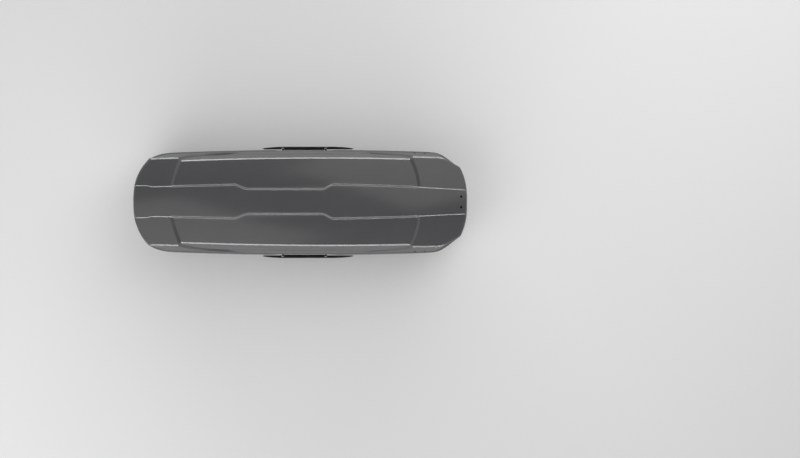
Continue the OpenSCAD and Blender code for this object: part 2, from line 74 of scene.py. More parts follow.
class Graph:
    """A node tree, written as named nodes and the wires between their sockets."""

    def __init__(self, tree: bpy.types.NodeTree) -> None:
        """Wraps a tree.

        Args:
            tree: The tree to write into.
        """
        self.tree = tree
        self.nodes: dict[str, bpy.types.Node] = {}

    @classmethod
    def group(cls, name: str, kind: str, takes: dict[str, str | float], gives: dict[str, str]) -> "Graph":
        """Starts a node group with an "in" and an "out" node.

        Args:
            name: Name of the group.
            kind: Blender's type of tree.
            takes: Inputs: a number is a float's default, a word is the type of a socket.
            gives: Outputs and their types.

        Returns:
            The new group.
        """
        tree = bpy.data.node_groups.new(name, kind)
        for key, value in takes.items():
            sort = value if isinstance(value, str) else "Float"
            socket = tree.interface.new_socket(name=key, in_out="INPUT", socket_type=f"NodeSocket{sort}")
            if sort is not value:
                socket.default_value = value
        for key, sort in gives.items():
            tree.interface.new_socket(name=key, in_out="OUTPUT", socket_type=f"NodeSocket{sort}")
        graph = cls(tree)
        graph.add("in", "NodeGroupInput")
        graph.add("out", "NodeGroupOutput")
        return graph

    def add(self, name: str, kind: str, values: Values | None = None, **settings: object) -> None:
        """Adds a node.

        Args:
            name: Name that wires use for it.
            kind: Blender's type of node.
            values: Values of its input sockets.
            settings: Its other properties, set before the values.
        """
        node = self.tree.nodes.new(kind)
        for key, value in settings.items():
            setattr(node, key, value)
        self.nodes[name] = node
        self.put(name, values or {})

    def put(self, name: str, values: Values) -> None:
        """Sets values of a node's input sockets."""
        for key, value in values.items():
            self.nodes[name].inputs[key].default_value = value

    def wire(self, *wires: str) -> None:
        """Joins sockets.

        Args:
            wires: Each written "node.socket > node.socket", with the socket's name or number.
        """
        for text in wires:
            ends = []
            for end in text.split(" > "):
                node, key = end.split(".")
                ends.append((self.nodes[node], int(key) if key.isdigit() else key))
            (source, output), (target, entry) = ends
            self.tree.links.new(source.outputs[output], target.inputs[entry])


class ShaderGroups:
    """Shader effects that several finishes share, each built once."""

    def __init__(self) -> None:
        """Builds the groups."""
        self.grain = self._moulded_grain()
        self.tone = self._tone_drift()
        self.dust = self._settled_dust()

    @staticmethod
    def _moulded_grain() -> bpy.types.NodeTree:
        """Leather-like mould grain as a height and a roughness change.

        Returns:
            The node group.
        """
        g = Graph.group("moulded_grain", "ShaderNodeTree",
                        {"Vector": "Vector", "Scale": 900.0, "Spread": 0.08, "Base Roughness": 0.5},
                        {"Height": "Float", "Roughness": "Float"})
        g.add("cells", "ShaderNodeTexVoronoi", feature="SMOOTH_F1")
        g.add("fine", "ShaderNodeTexNoise", {"Detail": 4.0})
        g.add("coarser", "ShaderNodeMath", {1: 0.35}, operation="MULTIPLY")
        g.add("both", "ShaderNodeMath", {1: 0.6}, operation="MULTIPLY_ADD")
        g.add("centred", "ShaderNodeMath", {1: 0.5}, operation="SUBTRACT")
        g.add("rough", "ShaderNodeMath", operation="MULTIPLY_ADD")
        g.wire("in.Vector > cells.Vector", "in.Vector > fine.Vector", "in.Scale > cells.Scale",
               "in.Scale > coarser.0", "coarser.0 > fine.Scale", "cells.Distance > both.0",
               "fine.Fac > both.2", "both.0 > out.Height", "fine.Fac > centred.0", "centred.0 > rough.0",
               "in.Spread > rough.1", "in.Base Roughness > rough.2", "rough.0 > out.Roughness")
        return g.tree

    @staticmethod
    def _tone_drift() -> bpy.types.NodeTree:
        """Slow drift of a colour over a large moulding, with fine specks.

        Returns:
            The node group.
        """
        g = Graph.group("tone_drift", "ShaderNodeTree",
                        {"Vector": "Vector", "Light": "Color", "Dark": "Color", "Drift Scale": 3.0,
                         "Speck Scale": 700.0}, {"Color": "Color"})
        g.add("drift", "ShaderNodeTexNoise", {"Detail": 3.0})
        g.add("speck", "ShaderNodeTexNoise", {"Detail": 2.0})
        g.add("both", "ShaderNodeMath", {1: 0.45}, operation="MULTIPLY_ADD")
        g.add("mix", "ShaderNodeMix", data_type="RGBA")
        g.wire("in.Vector > drift.Vector", "in.Vector > speck.Vector", "in.Drift Scale > drift.Scale",
               "in.Speck Scale > speck.Scale", "speck.Fac > both.0", "drift.Fac > both.2",
               "both.0 > mix.Factor", "in.Dark > mix.A", "in.Light > mix.B", "mix.Result > out.Color")
        return g.tree

    @staticmethod
    def _settled_dust() -> bpy.types.NodeTree:
        """Thin patchy dust as a mask between 0 and its amount.

        Returns:
            The node group.
        """
        g = Graph.group("settled_dust", "ShaderNodeTree",
                        {"Vector": "Vector", "Amount": 0.05}, {"Mask": "Float"})
        g.add("patch", "ShaderNodeTexNoise", {"Scale": 9.0, "Detail": 6.0})
        g.add("ramp", "ShaderNodeMapRange", {"From Min": 0.42, "From Max": 0.75})
        g.add("times", "ShaderNodeMath", operation="MULTIPLY")
        g.wire("in.Vector > patch.Vector", "patch.Fac > ramp.Value", "ramp.Result > times.0",
               "in.Amount > times.1", "times.0 > out.Mask")
        return g.tree


@dataclass(frozen=True)
class Finish:
    """One surface finish, from which a material is made."""

    name: str
    light: Point
    dark: Point
    roughness: float
    grain: float
    bump: float
    metallic: float = 0.0
    coat: float = 0.0
    coat_roughness: float = 0.2
    dust: float = 0.03
    stretch: Axis = Axis.NONE
    specular: float = 0.5
    flank_rise: float = 0.0

    FLANK: ClassVar[str] = "flank"
    DUST_TONE: ClassVar[Point] = (0.32, 0.31, 0.29)
    GRAIN_DEPTH: ClassVar[float] = 0.0004

    def make(self, groups: ShaderGroups) -> Material:
        """Makes the material.

        Args:
            groups: Shared shader groups.

        Returns:
            The material.
        """
        mat = bpy.data.materials.new(self.name)
        mat.use_nodes = True
        g = Graph(mat.node_tree)
        g.nodes["shader"] = mat.node_tree.nodes["Principled BSDF"]
        g.put("shader", {"Metallic": self.metallic, "Specular IOR Level": self.specular,
                         "Coat Weight": self.coat, "Coat Roughness": self.coat_roughness})
        g.add("coord", "ShaderNodeTexCoord")
        g.add("place", "ShaderNodeMapping", {"Scale": self.stretch.value})
        g.add("tone", "ShaderNodeGroup", {"Light": (*self.light, 1.0), "Dark": (*self.dark, 1.0)},
              node_tree=groups.tone)
        g.add("dust", "ShaderNodeGroup", {"Amount": self.dust}, node_tree=groups.dust)
        g.add("mix", "ShaderNodeMix", {"B": (*self.DUST_TONE, 1.0)}, data_type="RGBA")
        g.add("grain", "ShaderNodeGroup", {"Scale": self.grain, "Base Roughness": self.roughness},
              node_tree=groups.grain)
        g.add("bump", "ShaderNodeBump", {"Strength": self.bump, "Distance": self.GRAIN_DEPTH})
        g.wire("coord.Object > place.Vector", "place.Vector > tone.Vector", "place.Vector > dust.Vector",
               "place.Vector > grain.Vector", "dust.Mask > mix.Factor", "tone.Color > mix.A",
               "mix.Result > shader.Base Color", "grain.Height > bump.Height",
               "bump.Normal > shader.Normal")
        rough = "grain.Roughness"
        if self.flank_rise:
            g.add("flank", "ShaderNodeAttribute", attribute_name=self.FLANK)
            g.add("rise", "ShaderNodeMath", {1: self.flank_rise}, operation="MULTIPLY_ADD")
            g.wire("flank.Fac > rise.0", "grain.Roughness > rise.2")
            rough = "rise.0"
        g.wire(f"{rough} > shader.Roughness")
        return mat


class Finishes:
    """Every finish on the box, keyed by the record's material slot, with one more for the rivets, whose
    near-black tone also paints shade.
    """

    TABLE: ClassVar[dict[str, Finish]] = {
        "lid_plastic": Finish("satin_grey_shell", (0.067, 0.068, 0.070), (0.056, 0.057, 0.059),
                              roughness=0.21, grain=520.0, bump=0.03, dust=0.01, flank_rise=0.35),
        "tray_plastic": Finish("grained_black_tray", (0.022, 0.022, 0.024), (0.012, 0.012, 0.013),
                               roughness=0.62, grain=420.0, bump=0.35),
        "black_plastic": Finish("fine_black_plastic", (0.008, 0.008, 0.009), (0.004, 0.004, 0.005),
                                roughness=0.55, grain=900.0, bump=0.2, specular=0.25),
        # Rivet finish: black, but darker than any plastic and nearly without specular, so its tone also
        # paints the shade of a gap round each rivet head.
        "rivet_black": Finish("dull_black_rivet", (0.0025, 0.0025, 0.0025), (0.0015, 0.0015, 0.0015),
                              roughness=0.75, grain=900.0, bump=0.1, specular=0.06, dust=0.0),
        "rubber": Finish("seal_rubber", (0.02, 0.02, 0.02), (0.011, 0.011, 0.011),
                         roughness=0.75, grain=700.0, bump=0.15),
        "alloy": Finish("drawn_alloy", (0.62, 0.63, 0.65), (0.5, 0.51, 0.53),
                        roughness=0.36, grain=600.0, bump=0.1, metallic=1.0, stretch=Axis.ALONG_X),
        "bright_rod": Finish("ground_rod", (0.66, 0.66, 0.68), (0.56, 0.56, 0.58),
                             roughness=0.16, grain=800.0, bump=0.03, metallic=1.0, dust=0.0),
        "tube_paint": Finish("lifter_black_paint", (0.016, 0.016, 0.017), (0.01, 0.01, 0.011),
                             roughness=0.3, grain=300.0, bump=0.05, coat=0.4),
        "steel": Finish("zinc_steel", (0.46, 0.455, 0.43), (0.36, 0.355, 0.34),
                        roughness=0.42, grain=500.0, bump=0.08, metallic=1.0),
    }

    def __init__(self, groups: ShaderGroups) -> None:
        """Makes all the materials.

        Args:
            groups: Shared shader groups.
        """
        self.by_slot = {slot: finish.make(groups) for slot, finish in self.TABLE.items()}

    def __getitem__(self, slot: str) -> Material:
        """The material of a slot."""
        return self.by_slot[slot]


def plain_object(name: str, verts: Array, edges: Faces, faces: Faces) -> Object:
    """Makes a mesh object at the origin.

    Args:
        name: Name of the object.
        verts: Points in metres.
        edges: Pairs of points.
        faces: Corner indices, outward by the right-hand rule.

    Returns:
        The object.
    """
    mesh = bpy.data.meshes.new(name)
    mesh.from_pydata([tuple(map(float, v)) for v in verts], edges, faces)
    obj = bpy.data.objects.new(name, mesh)
    bpy.context.scene.collection.objects.link(obj)
    return obj


def mesh_object(name: str, verts: Array, faces: Faces, material: Material) -> Object:
    """Makes a smooth-shaded mesh object at the origin.

    Args:
        name: Name of the piece.
        verts: Points in metres.
        faces: Corner indices, outward by the right-hand rule.
        material: Its material.

    Returns:
        The object.
    """
    obj = plain_object(name, verts, [], faces)
    obj.data.polygons.foreach_set("use_smooth", [True] * len(obj.data.polygons))
    obj.data.materials.append(material)
    obj.data.update()
    return obj


def ramp(x: Array, a: float, b: float) -> Array:
    """Straight ramp from 0 at a to 1 at b."""
    return np.clip((x - a) / (b - a), 0.0, 1.0)


def rise(x: Array, start: float, length: float, height: float, power: float) -> Array:
    """Curve that leaves 0 at start and reaches a height one length further on."""
    return height * np.power(np.clip((x - start) / length, 0, None), power)


def soft_min(a: Array, b: Array, r: float) -> Array:
    """The smaller of two values, rounded over r where they cross."""
    return -r * np.log(np.exp(-a / r) + np.exp(-b / r))


def soft_ramp(x: Array, a: Array | float, b: Array | float, r: Array | float) -> Array:
    """Ramp from 0 at a to 1 at b whose two corners are rounded over r.

    Args:
        x: Where to take it.
        a: Where it starts.
        b: Where it ends.
        r: Half length of the rounding.

    Returns:
        Share at each x.
    """

    def part(t: Array) -> Array:
        """Rounded kink."""
        return np.where(t < -r, 0.0, np.where(t > r, t, (t + r) ** 2 / (4 * r)))

    return (part(x - a) - part(x - b)) / (b - a)


def border(nu: int, nv: int) -> tuple[Array, Array]:
    """Points once round the edge of a grid.

    Args:
        nu: Rows of the grid.
        nv: Columns of the grid.

    Returns:
        Row and column of each point.
    """
    ij = ([(i, 0) for i in range(nu - 1)] + [(nu - 1, j) for j in range(nv - 1)]
          + [(i, nv - 1) for i in range(nu - 1, 0, -1)] + [(0, j) for j in range(nv - 1, 0, -1)])
    return np.array([i for i, _ in ij]), np.array([j for _, j in ij])


def bands(loops: list[Array], flip: bool = False) -> Faces:
    """Faces between each two neighbouring loops.

    Args:
        loops: Point indices of each loop.
        flip: True to turn the faces over.

    Returns:
        Corner indices.
    """
    faces = []
    for a, b in zip(loops[:-1], loops[1:]):
        if flip:
            a, b = b, a
        faces += zip(a.tolist(), np.roll(a, -1).tolist(), np.roll(b, -1).tolist(), b.tolist())
    return faces


@dataclass(frozen=True)
class Row:
    """A corner row of a surface: its points, its corner's radius and the steps on the flat before it."""

    points: Array
    radius: float = 0.0
    steps: int = 1


def rounded_rows(rows: list[Row], arc: int = 4, most: float = 0.42) -> list[Array]:
    """Rows of points from the first corner row to the last, with the corners between rounded.

    Args:
        rows: Corner rows round the piece; the first and last are not rounded.
        arc: Steps on each rounded corner.
        most: Largest share of a flat that a corner may use up.

    Returns:
        The rows of the finished surface, first row included.
    """

    def unit(v: Array) -> tuple[Array, Array]:
        """Unit vectors and lengths."""
        n = np.linalg.norm(v, axis=1, keepdims=True)
        return v / np.maximum(n, 1e-9), n

    out = [rows[0].points]
    for k, row in enumerate(rows[1:], 1):
        start, end, corner = out[-1], row.points, []
        if k < len(rows) - 1 and row.radius > 0:
            back, before = unit(rows[k - 1].points - row.points)
            ahead, after = unit(rows[k + 1].points - row.points)
            r = np.minimum(row.radius, most * np.minimum(before, after))
            end, leave = row.points + back * r, row.points + ahead * r
            corner = [(1 - t) ** 2 * end + 2 * t * (1 - t) * row.points + t * t * leave
                      for t in np.linspace(0, 1, arc + 1)[1:]]
        out += [start + (end - start) * t for t in np.linspace(0, 1, row.steps + 1)[1:]] + corner
    return out


@dataclass(frozen=True)
class SideLine:
    """Half width along the box: a shallow arc, cut off at a slant towards the nose (millimetres)."""

    half: float
    curve: float
    widest_x: float
    nose_half: float
    slant: float
    nose_x: float
    soft: float

    def at(self, x: Array, share: Array | float = 1.0) -> Array:
        """Half width at x, when a share of the arc is left."""
        arc = (self.half - self.curve * (x - self.widest_x) ** 2) * share
        return soft_min(arc, self.nose_half + self.slant * (self.nose_x - x), self.soft)


class BoxPlan:
    """Plan lines that the lid, the tray and the seal share (millimetres)."""

    REAR_CORNER: float = -866.0
    FRONT_CORNER: float = 910.0
    HALF_LENGTH: float = 950.0
    HALF_WIDTH: float = 300.0
    RIM: SideLine = SideLine(HALF_WIDTH, 2.58e-5, 50.0, 191.0, 0.754, FRONT_CORNER, 12.0)
    CAP: SideLine = SideLine(254.5, 1.6e-5, 170.0, 190.0, 0.6, 905.0, 5.0)
    TAIL_X: float = 700.0
    TAIL_LENGTH: float = 250.0
    TAIL_POWER: float = 2.7
    NOSE_POWER: float = 2.67
    RELIEF: float = 9.0
    RELIEF_REAR: Pair = (660.0, 790.0)
    RELIEF_FRONT: Pair = (670.0, 780.0)

    @classmethod
    def rim_y(cls, x: Array) -> Array:
        """Half width of the lip at x."""
        gone = np.power(ramp(-x, cls.TAIL_X, cls.TAIL_X + cls.TAIL_LENGTH), cls.TAIL_POWER)
        return cls.RIM.at(x, np.power(np.clip(1 - gone, 0, 1), 1 / cls.TAIL_POWER))

    @classmethod
    def cap_y(cls, x: Array) -> Array:
        """Half width of the end caps' shoulder at x."""
        return cls.CAP.at(x)

    @classmethod
    def relief(cls, x: Array) -> Array:
        """Relief of the tray's flange at the corners, where the lip swings past it."""
        return cls.RELIEF * np.maximum(ramp(-x, *cls.RELIEF_REAR), ramp(x, *cls.RELIEF_FRONT))

    @classmethod
    def end_x(cls, v: Array, front: bool) -> Array:
        """Line of an end wall over the share v of the half width.

        Args:
            v: Share of the half width, -1 to 1.
            front: True for the nose.

        Returns:
            X at each v.
        """
        if front:
            tip, corner, power = cls.HALF_LENGTH, cls.FRONT_CORNER, cls.NOSE_POWER
        else:
            tip, corner, power = -cls.HALF_LENGTH, cls.REAR_CORNER, cls.TAIL_POWER
        return tip + (corner - tip) * np.power(np.abs(v), power)


@dataclass(frozen=True)
class LipRow:
    """A row of the lip: how far out and up it lies, also in the handle bays, and how it is rounded."""

    out: float
    up: float
    bay_out: float
    bay_up: float
    radius: float
    steps: int


@dataclass
class LidShell(BoxPlan):
    """The moulded lid: end caps, recessed middle panel, spine and lip (sizes in millimetres).

    Pairs of end and bow values hold at the shoulder and at the foot of the walls. A share w runs down a
    wall, from 0 at the shoulder to 1 at the foot.
    """

    top_z: float = 425.0
    nose_fall: tuple[float, ...] = (-150.0, 1095.0, 150.0, 2.4)
    tail_fall: tuple[float, ...] = (150.0, 768.0, 70.0, 2.2)
    crown: Pair = (38.0, 244.0)
    spine_raise: float = 4.0
    spine_line: Curve = ((-920, -843, -820, -700, -343, -282, 146, 194, 560, 945),
                         (89, 89, 82.5, 85, 93, 69, 69, 95, 86, 67))
    spine_kinks: tuple[float, ...] = (-843.0, -820.0, -343.0, -282.0, 146.0, 194.0)
    kink_soft: float = 9.0
    recess: float = 9.0
    inset: tuple[float, float, float] = (10.9, 0.8e-5, 177.0)
    step_rear: Pair = (-717.0, -702.0)
    step_front: Pair = (669.5, 684.5)
    step_soft: float = 2.2
    wall: float = 3.0
    lip_z: float = 106.0
    foot_rise: float = 42.0
    foot_in: float = 10.0
    shoulder_drop: float = 7.0
    bevel_half: float = 5.0
    grid_in: float = 4.0
    edge_in: float = 5.0
    rear_x: float = -910.0
    front_x: float = 938.0
    shoulder_span: Pair = (-821.0, 898.0)
    rear_end: Pair = (-918.0, -941.0)
    rear_bow: Pair = (89.0, 80.0)
    front_end: Pair = (945.0, 941.0)
    front_bow: Pair = (-40.0, -37.0)
    bow_line: Curve = ((-910, -709, -300, 250, 677, 938), (89, 54, 0, 0, -48, -40))
    bend_line: Curve = ((-910, -709, -300, 250, 677), (2.7, 1.65, 2, 2, 2.7))
    rear_sweep: Curve = ((-910, -709, 100), (0, 350, 0))
    rear_shares: Pair = (0.43, 0.57)
    rear_power: int = 10
    front_sweep: Curve = ((200, 677, 860), (0, -240, 0))
    front_power: float = 2.2
    barrel: float = 1.2
    panel_push: float = 3.0
    crease_x: Pair = (-549.0, 430.0)
    crease_w: float = 0.1
    crease_fall: float = 0.5
    ledge_w: float = 0.95
    upper_rows: tuple[float, ...] = (0.25, 0.5, 0.75)
    sweep_rows: tuple[float, ...] = (0.2, 0.4, 0.58, 0.72, 0.82, 0.9, 0.96)
    edge_round: float = 3.0
    crease_round: float = 9.0
    lip: tuple[LipRow, ...] = (LipRow(2.0, 28.0, 2.0, 28.0, 1.5, 2), LipRow(5.6, 26.6, 5.6, 26.2, 1.3, 2),
                               LipRow(6.5, 12.9, 6.1, 24.6, 1.2, 3), LipRow(10.0, 11.6, 6.5, 23.0, 1.6, 2),
                               LipRow(10.0, 0.0, 6.5, 18.0, 0.0, 3))
    foot_half: Pair = (941.0, 290.0)
    bay_rear: Pair = (-160.0, -110.0)
    bay_front: Pair = (150.0, 212.0)
    flank_band: Pair = (1.0, 6.0)
    close_runs: tuple[tuple[float, float, int], ...] = ((790, 930, 16), (-900, -860, 6), (-373, -257, 18),
                                                        (160, 238, 13))

    def inset_y(self, x: Array) -> Array:
        """How far the middle panel's shoulder lies inside the caps'."""
        least, curve, middle = self.inset
        return least + curve * (x - middle) ** 2

    def skin_z(self, x: Array, y: Array) -> Array:
        """Height of the end caps' skin.

        Args:
            x: Place along the box.
            y: Distance from the middle.

        Returns:
            Height at each point.
        """
        fall = rise(x, *self.nose_fall) + rise(-x, *self.tail_fall)
        drop, half = self.crown
        return self.top_z - self.spine_raise - fall - drop * (np.abs(y) / half) ** 2

    def wall_y(self, x: Array, w: Array | float, swell: float) -> Array:
        """Half width of a cap's wall at share w, with a swell at half height."""
        straight = (self.cap_y(x) + self.bevel_half) * (1 - w) + (self.rim_y(x) - self.foot_in) * w
        return straight + swell * 4 * w * (1 - w)

    def cap_face(self, x: float, z: float, swell: float = 0.0) -> float:
        """Half width of a cap's wall at one height.

        Args:
            x: Place along the box.
            z: The height.
            swell: 0 for the solid's wall, the barrel for the skin's.

        Returns:
            The half width.
        """
        px = np.array([x])
        foot = self.lip_z + self.foot_rise
        height = self.skin_z(px, self.cap_y(px))[0] - self.shoulder_drop - foot
        return float(self.wall_y(px, float(np.clip(1 - (z - foot) / height, 0, 1)), swell)[0])

    def spine_y(self, x: Array) -> Array:
        """Half width of the spine, its kinks softened."""
        shifts = np.linspace(-self.kink_soft, self.kink_soft, 13)
        return np.mean([np.interp(x + d, *self.spine_line) for d in shifts], axis=0)

    def spine_bevel(self, p: Array) -> tuple[Array, Array]:
        """Half width of the spine's bevel and the rounding of its edges, both larger on the panel."""
        return 2.5 + 3.5 * p, 1.2 + 1.0 * p

    def bow(self, x: Array) -> Array:
        """Bow of the cross lines from middle to shoulder."""
        return np.interp(x, *self.bow_line)

    def bend(self, x: Array) -> Array:
        """How sharply the cross lines bend on that way."""
        return np.interp(x, *self.bend_line)

    def sweep(self, x: Array, w: Array) -> Array:
        """Sweep of the wall lines at share w: late at the rear, earlier at the front.

        Args:
            x: Cross line of each point.
            w: Share of the way down the wall.

        Returns:
            Shift along the box.
        """
        steady, late = self.rear_shares
        rear = np.interp(x, *self.rear_sweep) * (steady * w + late * np.power(w, self.rear_power))
        return rear + np.interp(x, *self.front_sweep) * np.power(w, self.front_power)

    def panel(self, x: Array) -> Array:
        """1 on the recessed middle panel, 0 on the end caps.

        Args:
            x: Cross line of each point.

        Returns:
            Share of the recess that holds there.
        """
        rear = soft_ramp(x, *self.step_rear, self.step_soft)
        front = soft_ramp(x, *self.step_front, self.step_soft)
        return rear * (1 - front)

    def shoulder(self, x: Array) -> Array:
        """Half width at the inner edge of the shoulder bevel, for a cross line that starts at x."""
        xs = x + self.bow(x)
        return self.cap_y(xs) - self.bevel_half - self.panel(x) * self.inset_y(xs)

    def top_points(self, x: Array, y: Array) -> Array:
        """Points of the top skin.

        Args:
            x: Where each cross line starts on the middle.
            y: Distance from the middle.

        Returns:
            Points, one row each.
        """
        s, p = self.spine_y(x), self.panel(x)
        f, r = self.spine_bevel(p)
        px = x + self.bow(x) * np.power(np.abs(y) / self.shoulder(x), self.bend(x))
        drop = soft_ramp(np.abs(y), s - f, s + f, r)
        level = self.spine_raise + (-self.recess * p - self.spine_raise) * drop
        return np.stack([px, y, self.skin_z(px, y) + level], axis=-1)

    def wall_points(self, x: Array, v: Array, side: Array, w: Array, rec: float, push: float) -> Array:
        """Points of one ring of the side and end walls.

        Args:
            x: Cross line of each point.
            v: Share of the half width, -1 to 1.
            side: True on the long sides.
            w: 0 at the shoulder to 1 at the foot.
            rec: How much of the panel's inset holds here.
            push: Outward swell of the panel.

        Returns:
            Points, one row each.
        """

        def blend(pair: Pair) -> Array:
            """Value between shoulder and foot."""
            return pair[0] + (pair[1] - pair[0]) * w

        rear_end, rear_bow = blend(self.rear_end), blend(self.rear_bow)
        front_end, front_bow = blend(self.front_end), blend(self.front_bow)
        a, b = rear_end + rear_bow, front_end + front_bow
        p, xs, foot = self.panel(x), x + self.bow(x), self.lip_z + self.foot_rise
        lx = a + (b - a) * ramp(xs, *self.shoulder_span) + self.sweep(x, w)
        ly = self.wall_y(lx, w, self.barrel) + p * (push - rec * self.inset_y(lx))
        top = self.skin_z(xs, self.cap_y(xs) - p * self.inset_y(xs)) - self.shoulder_drop - self.recess * p
        lz = top * (1 - w) + foot * w
        end, bow = np.where(x > 0, front_end, rear_end), np.where(x > 0, front_bow, rear_bow)
        ex = end + bow * np.power(np.abs(v), self.TAIL_POWER)
        ey = v * self.wall_y(end + bow, w, self.barrel)
        ez = (self.skin_z(ex, ey) - self.shoulder_drop) * (1 - w) + foot * w
        return np.where(side[:, None], np.stack([lx, np.sign(v) * ly, lz], -1), np.stack([ex, ey, ez], -1))

    def _stations(self, closest: float = 1.0) -> Array:
        """Cross lines, close together at the steps and the spine's kinks.

        Args:
            closest: Least distance between two lines.

        Returns:
            Where each line crosses the middle.
        """
        runs = [np.linspace(a - 3.5, b + 3.5, 13) for a, b in (self.step_rear, self.step_front)]
        runs += [np.linspace(k - 13, k + 13, 7) for k in self.spine_kinks]
        runs += [np.linspace(self.rear_x + self.edge_in, self.front_x - self.edge_in, 96)]
        runs += [np.linspace(*run) for run in self.close_runs]
        lines = np.sort(np.concatenate(runs))
        keep = [lines[0]]
        for x in lines[1:]:
            if x - keep[-1] > closest:
                keep.append(x)
        keep[-1] = lines[-1]
        return np.array(keep)

    def _lines(self, x: Array) -> Array:
        """Lines along one half of the box, close together at the spine's bevel.

        Args:
            x: Cross lines.

        Returns:
            Distance of each line from the middle, one row for each cross line.
        """
        s, p, e = self.spine_y(x), self.panel(x), self.shoulder(x) - self.grid_in
        f, r = self.spine_bevel(p)
        inner = [(s - f - r) * t for t in (0.0, 0.3, 0.6, 0.85)]
        bevel = [s + k * f + q * r for k in (-1, 1) for q in (-1, -0.4, 0.4, 1)]
        outer = [s + f + r + (e - s - f - r) * t for t in np.power(np.linspace(0, 1, 13)[1:], 0.8)]
        return np.stack(inner + bevel + outer, axis=1)

    def _rows(self, top_edge: Array, x: Array, v: Array, side: Array) -> list[Row]:
        """Corner rows from the border of the top skin down the walls and round the lip.

        Args:
            top_edge: Border of the top skin.
            x: Cross line of each point.
            v: Share of the half width, -1 to 1.
            side: True on the long sides.

        Returns:
            The rows, from the top down.
        """
        one = np.ones_like(x)
        crease = self.crease_w + self.crease_fall * ramp(x, *self.crease_x)

        def wall(w: Array, rec: float, push: float, radius: float, steps: int) -> Row:
            """Row on the walls."""
            return Row(self.wall_points(x, v, side, w, rec, push), radius, steps)

        def below(t: float, radius: float, steps: int) -> Row:
            """Row at share t of the way from the crease to the ledge."""
            return wall(crease + (self.ledge_w - crease) * t, 1, self.panel_push * (1 - t), radius, steps)

        rows = [Row(top_edge), Row(self.top_points(x, v * self.shoulder(x)), self.edge_round, 1),
                wall(0 * one, 1, 0, self.edge_round, 2)]
        rows += [wall(crease * t, 1, self.panel_push * t, 0, 2) for t in self.upper_rows]
        rows += [below(0.0, self.crease_round, 2)] + [below(t, 0, 1) for t in self.sweep_rows]
        rows += [below(1.0, self.edge_round, 1), wall(one, 0, 0, self.edge_round, 2)]
        foot = rows[-1].points
        lift = np.minimum(ramp(foot[:, 0], *self.bay_rear), 1 - ramp(foot[:, 0], *self.bay_front))
        for lip in self.lip:
            out = lip.out + (lip.bay_out - lip.out) * lift
            z = self.lip_z + lip.up + (lip.bay_up - lip.up) * lift
            plan = [foot[:, k] * (1 + out / half) for k, half in enumerate(self.foot_half)]
            rows.append(Row(np.stack([*plan, z], -1), lip.radius, lip.steps))
        return rows

    def build(self, material: Material) -> None:
        """Builds the lid.

        Args:
            material: Finish of the lid.
        """
        x = self._stations()
        half = self._lines(x)
        y = np.concatenate([-half[:, :0:-1], half], axis=1)
        nu, nv = y.shape
        top = self.top_points(np.repeat(x, nv), y.ravel())
        ei, ej = border(nu, nv)
        edge, side = ei * nv + ej, (ej == 0) | (ej == nv - 1)
        xm = self.rear_x + (x[ei] - x[0]) / (x[-1] - x[0]) * (self.front_x - self.rear_x)
        v = y[ei, ej] / (self.shoulder(x[ei]) - self.grid_in)
        rows = self._rows(top[edge], xm, np.where(side, np.sign(v), v), side)
        rings = rounded_rows(rows)[1:]
        outer = np.concatenate([top] + rings)
        inner = outer * np.array([1 - self.wall / self.HALF_LENGTH, 1 - self.wall / self.HALF_WIDTH, 1.0])
        inner[: len(outer) - len(edge), 2] -= self.wall
        faces = self._faces(nu, nv, edge, len(rings), len(outer))
        obj = mesh_object("lid_moulding", np.concatenate([outer, inner]) * MM, faces, material)
        shoulder_z = rows[2].points[:, 2]
        under = [ramp(shoulder_z - ring[:, 2], *self.flank_band) for ring in rings]
        flank = obj.data.attributes.new(Finish.FLANK, "FLOAT", "POINT")
        flank.data.foreach_set("value", np.concatenate([np.zeros(nu * nv)] + under + [np.ones(len(inner))]))
        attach(obj, "lid")
        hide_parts("lid_shell")
        LOG.info("lid_moulding: %d faces", len(faces))

    @staticmethod
    def _faces(nu: int, nv: int, edge: Array, rings: int, n: int) -> Faces:
        """Faces of both skins and of the lip between them.

        Args:
            nu: Cross lines.
            nv: Lines along the box.
            edge: Indices of the top skin's border.
            rings: Number of wall rings.
            n: Points in one skin.

        Returns:
            Corner indices.
        """
        m = len(edge)
        loops = [edge] + [nu * nv + k * m + np.arange(m) for k in range(rings)]
        skin = [(i * nv + j, (i + 1) * nv + j, (i + 1) * nv + j + 1, i * nv + j + 1)
                for i in range(nu - 1) for j in range(nv - 1)] + bands(loops, flip=True)
        return skin + [tuple(c + n for c in reversed(f)) for f in skin] + bands([loops[-1] + n, loops[-1]])


class Pattern(Enum):
    """Geometry Nodes trees that make what repeats or follows a path."""

    SET_OUT = "set_out_on_points"
    SWEEP = "sweep_along_path"
    SMOOTH = "smooth_below_angle"


